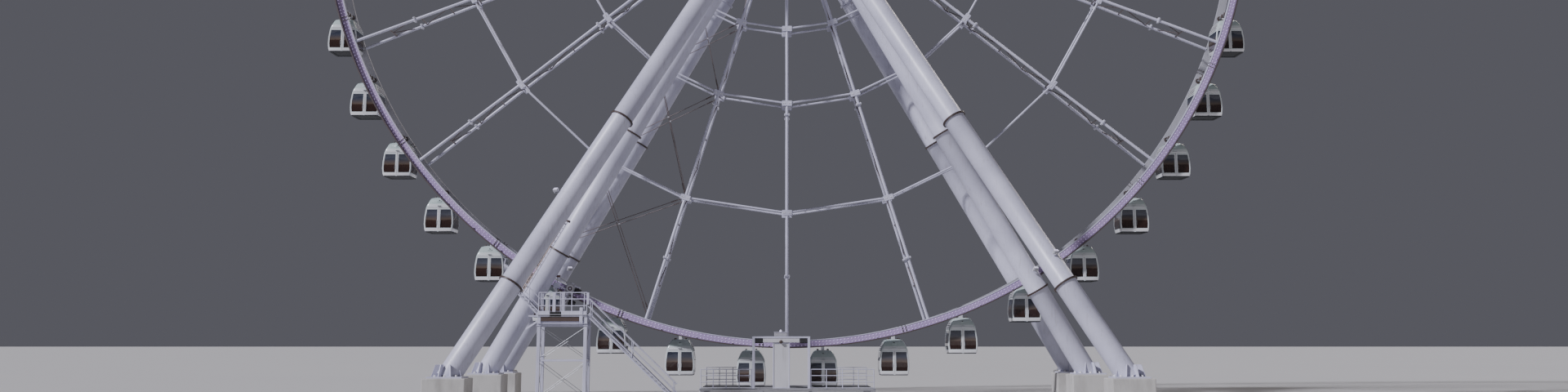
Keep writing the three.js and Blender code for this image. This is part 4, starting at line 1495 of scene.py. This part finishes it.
HOUSING_TILT = Matrix.Rotation(math.radians(20), 4, "Y")
HUB_DISCS = [
    (0.24, 0.06, 0.1, GREY), (0.21, 0.08, 0.12, LIGHT_GREY),
    (0.13, 0.1, 0.135, DARK_STEEL_AND_SHADE), (0.055, 0.12, 0.16, WHITE),
]
MOTOR_PROFILE = [(0.13, 0), (0.17, 0.02), (0.17, 0.16), (0.155, 0.17), (0.155, 0.3), (0.12, 0.34)]
DRIVE_PLANE = -1.86
ARM_HALF = 0.72


def motor_housing(centre):
    """A flat housing with rounded ends that slopes down to the right."""
    housing = plate((-0.3, -0.27, 0), (0.36, 0.27, 0.07), GREY, 0.012)
    edit(housing)
    pick(housing, lambda e: abs(edge_run(e).z) > 0.9 and abs(middle_of_edge(e).y) > 0.2, "EDGE")
    bpy.ops.mesh.bevel(offset=0.11, segments=5, affect="EDGES")
    let_go()
    housing.data.transform(Matrix.Translation(centre) @ HOUSING_TILT @ lay_along(-REAR))
    return housing


def tyre_front(centre):
    """A geared wheel motor in front of one drive tyre: housing, cheek, end rings and dark can."""
    run = HOUSING_TILT @ RIGHT
    cheek = centre + run * 0.2 + (HOUSING_TILT @ UP) * 0.22 - REAR * 0.02
    parts = [motor_housing(centre), beam(cheek, cheek + run * 0.34, 0.09, 0.12, WHITE)]
    for radius, low, high, finish in HUB_DISCS:
        disc = turned([(radius, low), (radius, high - 0.012), (radius - 0.012, high)], 28)
        parts.append(paint(put(disc, centre, -REAR), finish))
    parts += bolt_ring(centre - REAR * 0.12, -REAR, 0.17, 10, 0.03)
    motor = put(turned(MOTOR_PROFILE, 20), centre + run * 0.34 - REAR * 0.05, run)
    return parts + [paint(motor, SEAM_AND_SHADE)]


def drive_arm(middle_point):
    """The upright arm in front of the rim, and the post and beams that carry it."""
    x, z = middle_point.x, middle_point.z
    y, top = DRIVE_BACK - 0.1, DRIVE_TOP
    return [
        beam(at(x, -1.84, z), at(x, y - 0.1, z), DRIVE_POST, DRIVE_POST, WHITE, UP),
        beam(at(x, y, top), at(x, y, z + 0.1), DRIVE_POST, DRIVE_POST, WHITE),
        plate((x - 0.17, y - 0.17, top), (x + 0.17, y + 0.13, top + 0.03), WHITE),
        *bolt_grid((x - 0.13, x + 0.13), (y - 0.13, y + 0.09), top + 0.03, 0.045),
        beam(at(x, y, top + 0.5), at(x, -2.3, z - 0.06), 0.09, 0.09, WHITE, RIGHT),
    ]


def drive_actuators(middle_point):
    """The small boxes, rods and links left of the tyres, and a bent pipe on the right."""
    link_end = (middle_point.x - 0.05, -2.05, middle_point.z - 0.04)
    boxes = [
        ((-13.64, -2.2, 6.42), (-13.28, -1.95, 6.74), WHITE, 0.03),
        ((-13.5, -2.13, 7.04), (-13.26, -1.97, 7.16), RED, 0.02),
    ]
    bars = [
        ((-13.44, -2.07, 6.7), (-13.4, -2.07, 7.05), 0.06, 0.06, STEEL),
        ((-13.3, -2.07, 6.55), (-12.95, -2.02, 6.35), 0.08, 0.08, WHITE),
        ((-13.62, -2.1, 6.98), (-13.2, -2.0, 6.78), 0.07, 0.1, LIGHT_GREY),
        ((-13.66, -2.1, 6.5), (-13.4, -2.05, 6.15), 0.1, 0.12, LIGHT_GREY),
        ((-13.46, -2.07, 6.42), (-13.46, -2.07, 6.0), 0.08, 0.08, WHITE),
        ((-13.46, -2.07, 6.02), link_end, 0.09, 0.09, WHITE),
    ]
    tubes = [
        ((-14.0, -2.2, 6.1), (-13.5, -2.1, 6.85), 0.05, STEEL),
        ((-13.52, -2.06, 6.1), (-13.25, -2.02, 6.32), 0.1, DARK_STEEL_AND_SHADE),
        ((-12.3, -1.96, 6.42), (-11.98, -1.9, 6.16), 0.05, WHITE),
        ((-11.98, -1.9, 6.17), (-11.98, -1.9, 5.95), 0.05, WHITE),
        ((-13.3, -2.07, 7.05), (-12.85, -2.0, 6.75), 0.05, STEEL),
    ]
    return [
        *(plate(*box) for box in boxes),
        *(beam(at(*start), at(*end), *rest) for start, end, *rest in bars),
        *(tube(at(*start), at(*end), *rest) for start, end, *rest in tubes),
    ]


def drive_units():
    """The arm in front of the rim, both wheel motors and what pushes them together."""
    centres = [PIVOTS[f"drive_tyre_{name}_spin"] for name in ("inner", "outer")]
    middle_point = (centres[0] + centres[1]) / 2
    start, end = (middle_point + outward(TYRE_ANGLE) * s * ARM_HALF - REAR * 1.78 for s in (-1, 1))
    parts = [beam(start, end, 0.15, 0.2, WHITE)]
    for centre in centres:
        parts += tyre_front(at(centre.x, DRIVE_PLANE, centre.z))
    return parts + drive_arm(middle_point) + drive_actuators(middle_point)


def drive_platform():
    deck = drive_deck() + drive_edge() + drive_posts() + drive_guards() + leg_bracket()
    hand_over(join("drive_platform_dressed", deck), "support", "grey_steel", "drive_platform")
    end = DRIVE_RIGHT + (STAIR_STEPS - 1) * STAIR_TREAD
    back = DRIVE_FRONT + STAIR_WIDTH
    sides = (DRIVE_FRONT + 0.02, back - 0.02)
    down = flight((end, 0.1), (DRIVE_RIGHT + 0.02, DRIVE_TOP - 0.12), *sides, STAIR_STEPS, sides, WHITE)
    hand_over(join("drive_stair", down), "support", "grey_steel", "drive_platform")
    front = DRIVE_FRONT + 0.03
    up = flight(CLIMB_FOOT, CLIMB_HEAD, front, back - 0.03, CLIMB_STEPS, (front,), WHITE)
    hand_over(join("drive_climb", up), "support", "grey_steel", "drive_platform")
    hand_over(join("drive_units", drive_units()), "support", "grey_steel", "drive_platform")


def drive_tyres():
    """Rubber tyres with grooves and a hub, one for each side of the running rail."""
    radius, wide, soft = TYRE_RADIUS - 0.006, TYRE_WIDE, 0.02
    groove = radius - GROOVE_DEEP
    profile = [(radius - soft, 0), (radius, soft)]
    for i in range(1, TYRE_RIBS):
        y = wide * i / TYRE_RIBS
        profile += [(radius, y - 0.012), (groove, y - 0.008), (groove, y + 0.008), (radius, y + 0.012)]
    profile += [
        (radius, wide - soft), (radius - soft, wide), (0.2, wide), (0.19, wide - soft),
        (0.09, wide - soft), (0.05, wide),
    ]
    for name in ("inner", "outer"):
        centre = PIVOTS[f"drive_tyre_{name}_spin"]
        tyre = paint(put(turned(profile, 40), at(centre.x, TYRE_BACK, centre.z), -REAR), TYRE, STEEL)
        edit(tyre)
        pick(tyre, lambda f: (middle(f) - centre).xz.length < 0.195)
        finish_faces(tyre, STEEL)
        let_go()
        start, end = (at(centre.x, y, centre.z) for y in (TYRE_BACK - wide, TYRE_SHAFT_END))
        shaft = tube(start, end, 0.1, STEEL)
        whole = join(f"drive_tyre_{name}_dressed", [tyre, shaft])
        hand_over(whole, f"drive_tyre_{name}_body", "tyre", f"drive_tyre_{name}")


# The boarding platform.

DECK_TOP = 0.72
DECK_HALF = 5.0
DECK_INNER = 1.05
DECK_OUTER = 3.9
DECK_PANELS = 6
SLEEPER_TOP = 0.34
SLEEPERS = (-4.85, -1.517, 1.517, 4.85)
SLEEPER_BLOCKS = (-3.75, -1.2, 1.2, 3.75)
GUARD_LINE = 3.84
GUARD_END = 4.94
GATE_HALF = 1.65
PORTAL_LEFT = -2.0
PORTAL_RIGHT = 1.3
PORTAL_TOP = 3.63
PORTAL_DEEP = 0.3
PANEL_HALF = 0.48


def boarding_decks():
    """Two decks beside the cabins' way: tread plates in a frame of channels."""
    parts = []
    pitch = 2 * DECK_HALF / DECK_PANELS
    level = DECK_TOP - 0.07
    for low, high in ((-DECK_OUTER, -DECK_INNER), (DECK_INNER, DECK_OUTER)):
        for i in range(DECK_PANELS):
            x = -DECK_HALF + i * pitch
            parts.append(plate((x + 0.008, low + 0.02, DECK_TOP - 0.05),
                               (x + pitch - 0.008, high - 0.02, DECK_TOP), DECK))
        for y, face in ((low + 0.01, REAR), (high - 0.01, -REAR)):
            left, right = at(-DECK_HALF, y, level), at(DECK_HALF, y, level)
            parts += channel(left, right, 0.14, 0.06, LIGHT_GREY, face)
        for x in (-DECK_HALF + 0.01, DECK_HALF - 0.01):
            parts.append(beam(at(x, low, level), at(x, high, level), 0.02, 0.14, LIGHT_GREY, RIGHT))
    return parts


def sleepers():
    """The sleepers that cross under both decks, with the blocks that carry the decks."""
    parts = []
    for x in SLEEPERS:
        parts.append(plate((x - 0.15, -DECK_OUTER, 0), (x + 0.15, DECK_OUTER, SLEEPER_TOP), GREY, 0.02))
        for y in SLEEPER_BLOCKS:
            top = SLEEPER_TOP + 0.02
            parts.append(beam(at(x, y, SLEEPER_TOP), at(x, y, DECK_TOP - 0.06), 0.28, 0.28, LIGHT_GREY))
            parts.append(plate((x - 0.15, y - 0.15, SLEEPER_TOP), (x + 0.15, y + 0.15, top), LIGHT_GREY))
            parts += bolt_grid((x - 0.12, x + 0.12), (y - 0.12, y + 0.12), top, 0.04)
    return parts


def boarding_platform():
    parts = boarding_decks() + sleepers()
    runs = [
        (-GUARD_END, PORTAL_LEFT, -GUARD_LINE), (PORTAL_RIGHT, GUARD_END, -GUARD_LINE),
        (-GUARD_END, -GATE_HALF, GUARD_LINE), (GATE_HALF, GUARD_END, GUARD_LINE),
    ]
    for left, right, y in runs:
        start, end = at(left, y, DECK_TOP), at(right, y, DECK_TOP)
        parts += guard_rail(start, end, (0.01, 0.25, 0.5, 0.75, 0.99), (0.37, 0.73, 1.08), WHITE)
    hand_over(join("boarding_platform_dressed", parts), "support", "deck_grey", "boarding_platform")
    hand_over(join("portal_dressed", portal()), "support", "deck_grey", "boarding_platform")


def slab(left, right, low, high, finish, edge, set_back=0.0):
    """A piece of the portal, set back by the same amount in front and behind."""
    front, back = -DECK_OUTER + set_back, -DECK_OUTER + PORTAL_DEEP - set_back
    return plate((left, front, low), (right, back, high), finish, edge)


def portal():
    """A pale frame with a middle panel, end boxes, a sensor and a lamp box on top."""
    left, right, foot, top = PORTAL_LEFT, PORTAL_RIGHT, DECK_TOP, PORTAL_TOP
    centre = (left + right) / 2
    panel_left, panel_right = centre - PANEL_HALF, centre + PANEL_HALF
    parts = [
        slab(left, right, top - 0.1, top, WHITE, 0.015),
        slab(left + 0.6, right - 0.6, top - 0.34, top - 0.1, LIGHT_GREY, 0.02, 0.02),
        slab(left + 0.05, left + 0.62, top - 0.38, top - 0.09, SEAM_AND_SHADE, 0.04, 0.01),
        slab(right - 0.6, right - 0.05, top - 0.38, top - 0.09, SEAM_AND_SHADE, 0.04, 0.01),
        slab(left, left + 0.15, foot, top - 0.08, WHITE, 0.012),
        slab(right - 0.15, right, foot, top - 0.08, WHITE, 0.012),
        slab(panel_left + 0.05, panel_right - 0.05, foot, top - 0.3, LIGHT_GREY, 0.008, 0.1),
        slab(panel_left, panel_left + 0.06, foot, top - 0.28, WHITE, 0.008, 0.07),
        slab(panel_right - 0.06, panel_right, foot, top - 0.28, WHITE, 0.008, 0.07),
        slab(panel_left + 0.02, panel_right - 0.02, foot + 0.02, foot + 0.08, WHITE, 0.008, 0.08),
        slab(panel_left + 0.02, panel_right - 0.02, top - 0.4, top - 0.34, WHITE, 0.008, 0.08),
        slab(centre - 0.4, centre + 0.34, top, top + 0.22, GREY, 0.02, 0.04),
        slab(centre - 0.42, centre + 0.36, top + 0.22, top + 0.25, WHITE, 0.008, 0.02),
    ]
    sensor = turned([(0.09, 0), (0.1, 0.03), (0.1, 0.09), (0.06, 0.12)], 20)
    parts.append(paint(put(sensor, at(centre - 0.02, -DECK_OUTER + 0.03, top - 0.3), -REAR), BEARING))
    lamp = turned([(0.07, 0), (0.075, 0.03), (0.06, 0.1), (0.025, 0.13)], 16)
    parts.append(paint(put(lamp, at(centre - 0.03, -DECK_OUTER + 0.15, top + 0.25), UP), FLOOD))
    return parts


# Fittings on the legs: the ladder and the lamp boxes.

LADDER_LEG = "front_inner_left"
LADDER_FOOT = 5.9
LADDER_HEAD = 10.0
LADDER_OUT = 0.74
LADDER_TURN = math.radians(60)
LADDER_HALF = 0.2
LADDER_RUNGS = 17
LADDER_STEP = 0.24
LADDER_BRACKETS = (6.2, 7.5, 8.8, 9.85)
LAMP_SPOTS = [
    ("front_outer_left", 10.95, -75),
    ("front_outer_right", 7.62, 32),
    ("rear_inner_left", 8.0, 32),
    ("front_inner_right", 7.3, 35),
]
LAMP_OUT = 0.85


def along_leg(name, height, turn, out):
    """A point off a leg's middle line, turned from its front to +X, at a height above the ground."""
    top, slope = leg_line(name)
    direction = slope.normalized()
    side = REAR.cross(direction).normalized()
    if side.x < 0:
        side = -side
    front = direction.cross(side).normalized()
    if front.y > 0:
        front = -front
    return top + slope * (HUB.z - height) + (side * math.sin(turn) + front * math.cos(turn)) * out


def on_ladder(height, way, out=LADDER_OUT):
    return along_leg(LADDER_LEG, height, way * LADDER_HALF - LADDER_TURN, out)


def leg_ladder():
    """A ladder on brackets up the left edge of the front inner left leg."""
    parts = []
    for way in (-1, 1):
        parts.append(tube(on_ladder(LADDER_FOOT, way), on_ladder(LADDER_HEAD, way), 0.045, RUSTED))
    for i in range(LADDER_RUNGS):
        height = LADDER_FOOT + 0.1 + i * LADDER_STEP
        parts.append(tube(on_ladder(height, 1), on_ladder(height, -1), 0.03, RUSTED))
    for height in LADDER_BRACKETS:
        for way in (-1, 1):
            root, end = on_ladder(height, way, 0.56), on_ladder(height, way)
            parts.append(beam(root, end, 0.04, 0.05, LIGHT_GREY))
    left = along_leg(LADDER_LEG, LADDER_HEAD, -LADDER_TURN * 1.35, 0.66)
    right = along_leg(LADDER_LEG, LADDER_HEAD + 0.05, -LADDER_TURN * 0.5, 0.66)
    return parts + [beam(left, right, 0.1, 0.12, BEARING)]


def lamp_box(place, face):
    """A floodlight: a body, a lens and a stirrup round its back."""
    pieces = [
        plate((-0.14, -0.1, -0.12), (0.14, 0.1, 0.02), GREY, 0.012),
        plate((-0.12, -0.08, 0.02), (0.12, 0.08, 0.035), FLOOD, 0.012),
        plate((-0.165, -0.03, -0.2), (-0.145, 0.03, 0.0), LIGHT_GREY, 0.003),
        plate((0.145, -0.03, -0.2), (0.165, 0.03, 0.0), LIGHT_GREY, 0.003),
        plate((-0.165, -0.03, -0.22), (0.165, 0.03, -0.2), LIGHT_GREY, 0.003),
    ]
    return [put(piece, place, face, UP) for piece in pieces]


def leg_fittings():
    parts = leg_ladder()
    for name, height, degrees in LAMP_SPOTS:
        turn = math.radians(degrees)
        place = along_leg(name, height, turn, LAMP_OUT)
        root = along_leg(name, height, turn, LEG_RADIUS - 0.02)
        parts.append(beam(root, place, 0.06, 0.06, LIGHT_GREY))
        parts += lamp_box(place, at(math.copysign(0.25, place.x - root.x), -0.5, 0.8).normalized())
    hand_over(join("leg_fittings", parts), "support", "grey_steel")


# The stage, the light and the camera.

EYE = at(-0.688, -95.0, 3.15)
EYE_TILT = 10.863
EYE_TURN = -0.0054

# In pixels of the view: its size, the focal length, and the row that the camera's axis meets.
VIEW_SIZE = (1920, 480)
VIEW_FOCAL = 1926.73
VIEW_AXIS_ROW = 52.77

SENSOR = 36
LIGHTS = [
    ("key_light", (54, 0, -56), 4.1, 4, (0.91, 0.9, 1.0)),
    ("fill_light", (66, 0, 50), 0.2, 30, (1.0, 0.92, 0.85)),
    ("back_light", (58, 0, 150), 0.6, 20, (1.0, 0.9, 0.82)),
]


def studio():
    """A pale floor, an even sky and three soft suns."""
    let_go()
    bpy.ops.mesh.primitive_plane_add(size=3000, location=(0, 0, 0))
    floor = settle(bpy.context.object, "studio_floor")
    paint(floor, plain_floor("studio_floor"))
    world = bpy.data.worlds.new("studio")
    bpy.context.scene.world = world
    world.use_nodes = True
    sky = world.node_tree.nodes["Background"].inputs
    sky["Color"].default_value = (0.42, 0.42, 0.5, 1)
    sky["Strength"].default_value = 0.24
    for name, turn, power, width, tone in LIGHTS:
        bpy.ops.object.light_add(type="SUN", rotation=[math.radians(degrees) for degrees in turn])
        light = bpy.context.object
        light.name = name
        light.data.energy = power
        light.data.angle = math.radians(width)
        light.data.color = tone


def camera():
    """A view from the ground in front, tilted up, as the wheel was seen."""
    width, height = VIEW_SIZE
    turn = (math.radians(90 + EYE_TILT), 0, EYE_TURN)
    bpy.ops.object.camera_add(location=EYE * SCALE, rotation=turn)
    eye = bpy.context.object
    eye.name = "camera"
    eye.data.sensor_width = SENSOR
    eye.data.lens = VIEW_FOCAL / width * SENSOR
    eye.data.shift_y = -(height / 2 - VIEW_AXIS_ROW) / width
    eye.data.clip_end = 2000
    bpy.context.scene.camera = eye


studio()
camera()
cabins()
rims()
spoke_groups()
ladder_bracing()
spoke_fittings()
cables()
hub()
axle()
for name in leg_names():
    leg(name)
leg_fittings()
drive_platform()
drive_tyres()
boarding_platform()
drop(BAR, TUBE, THIN_TUBE, BOLT)
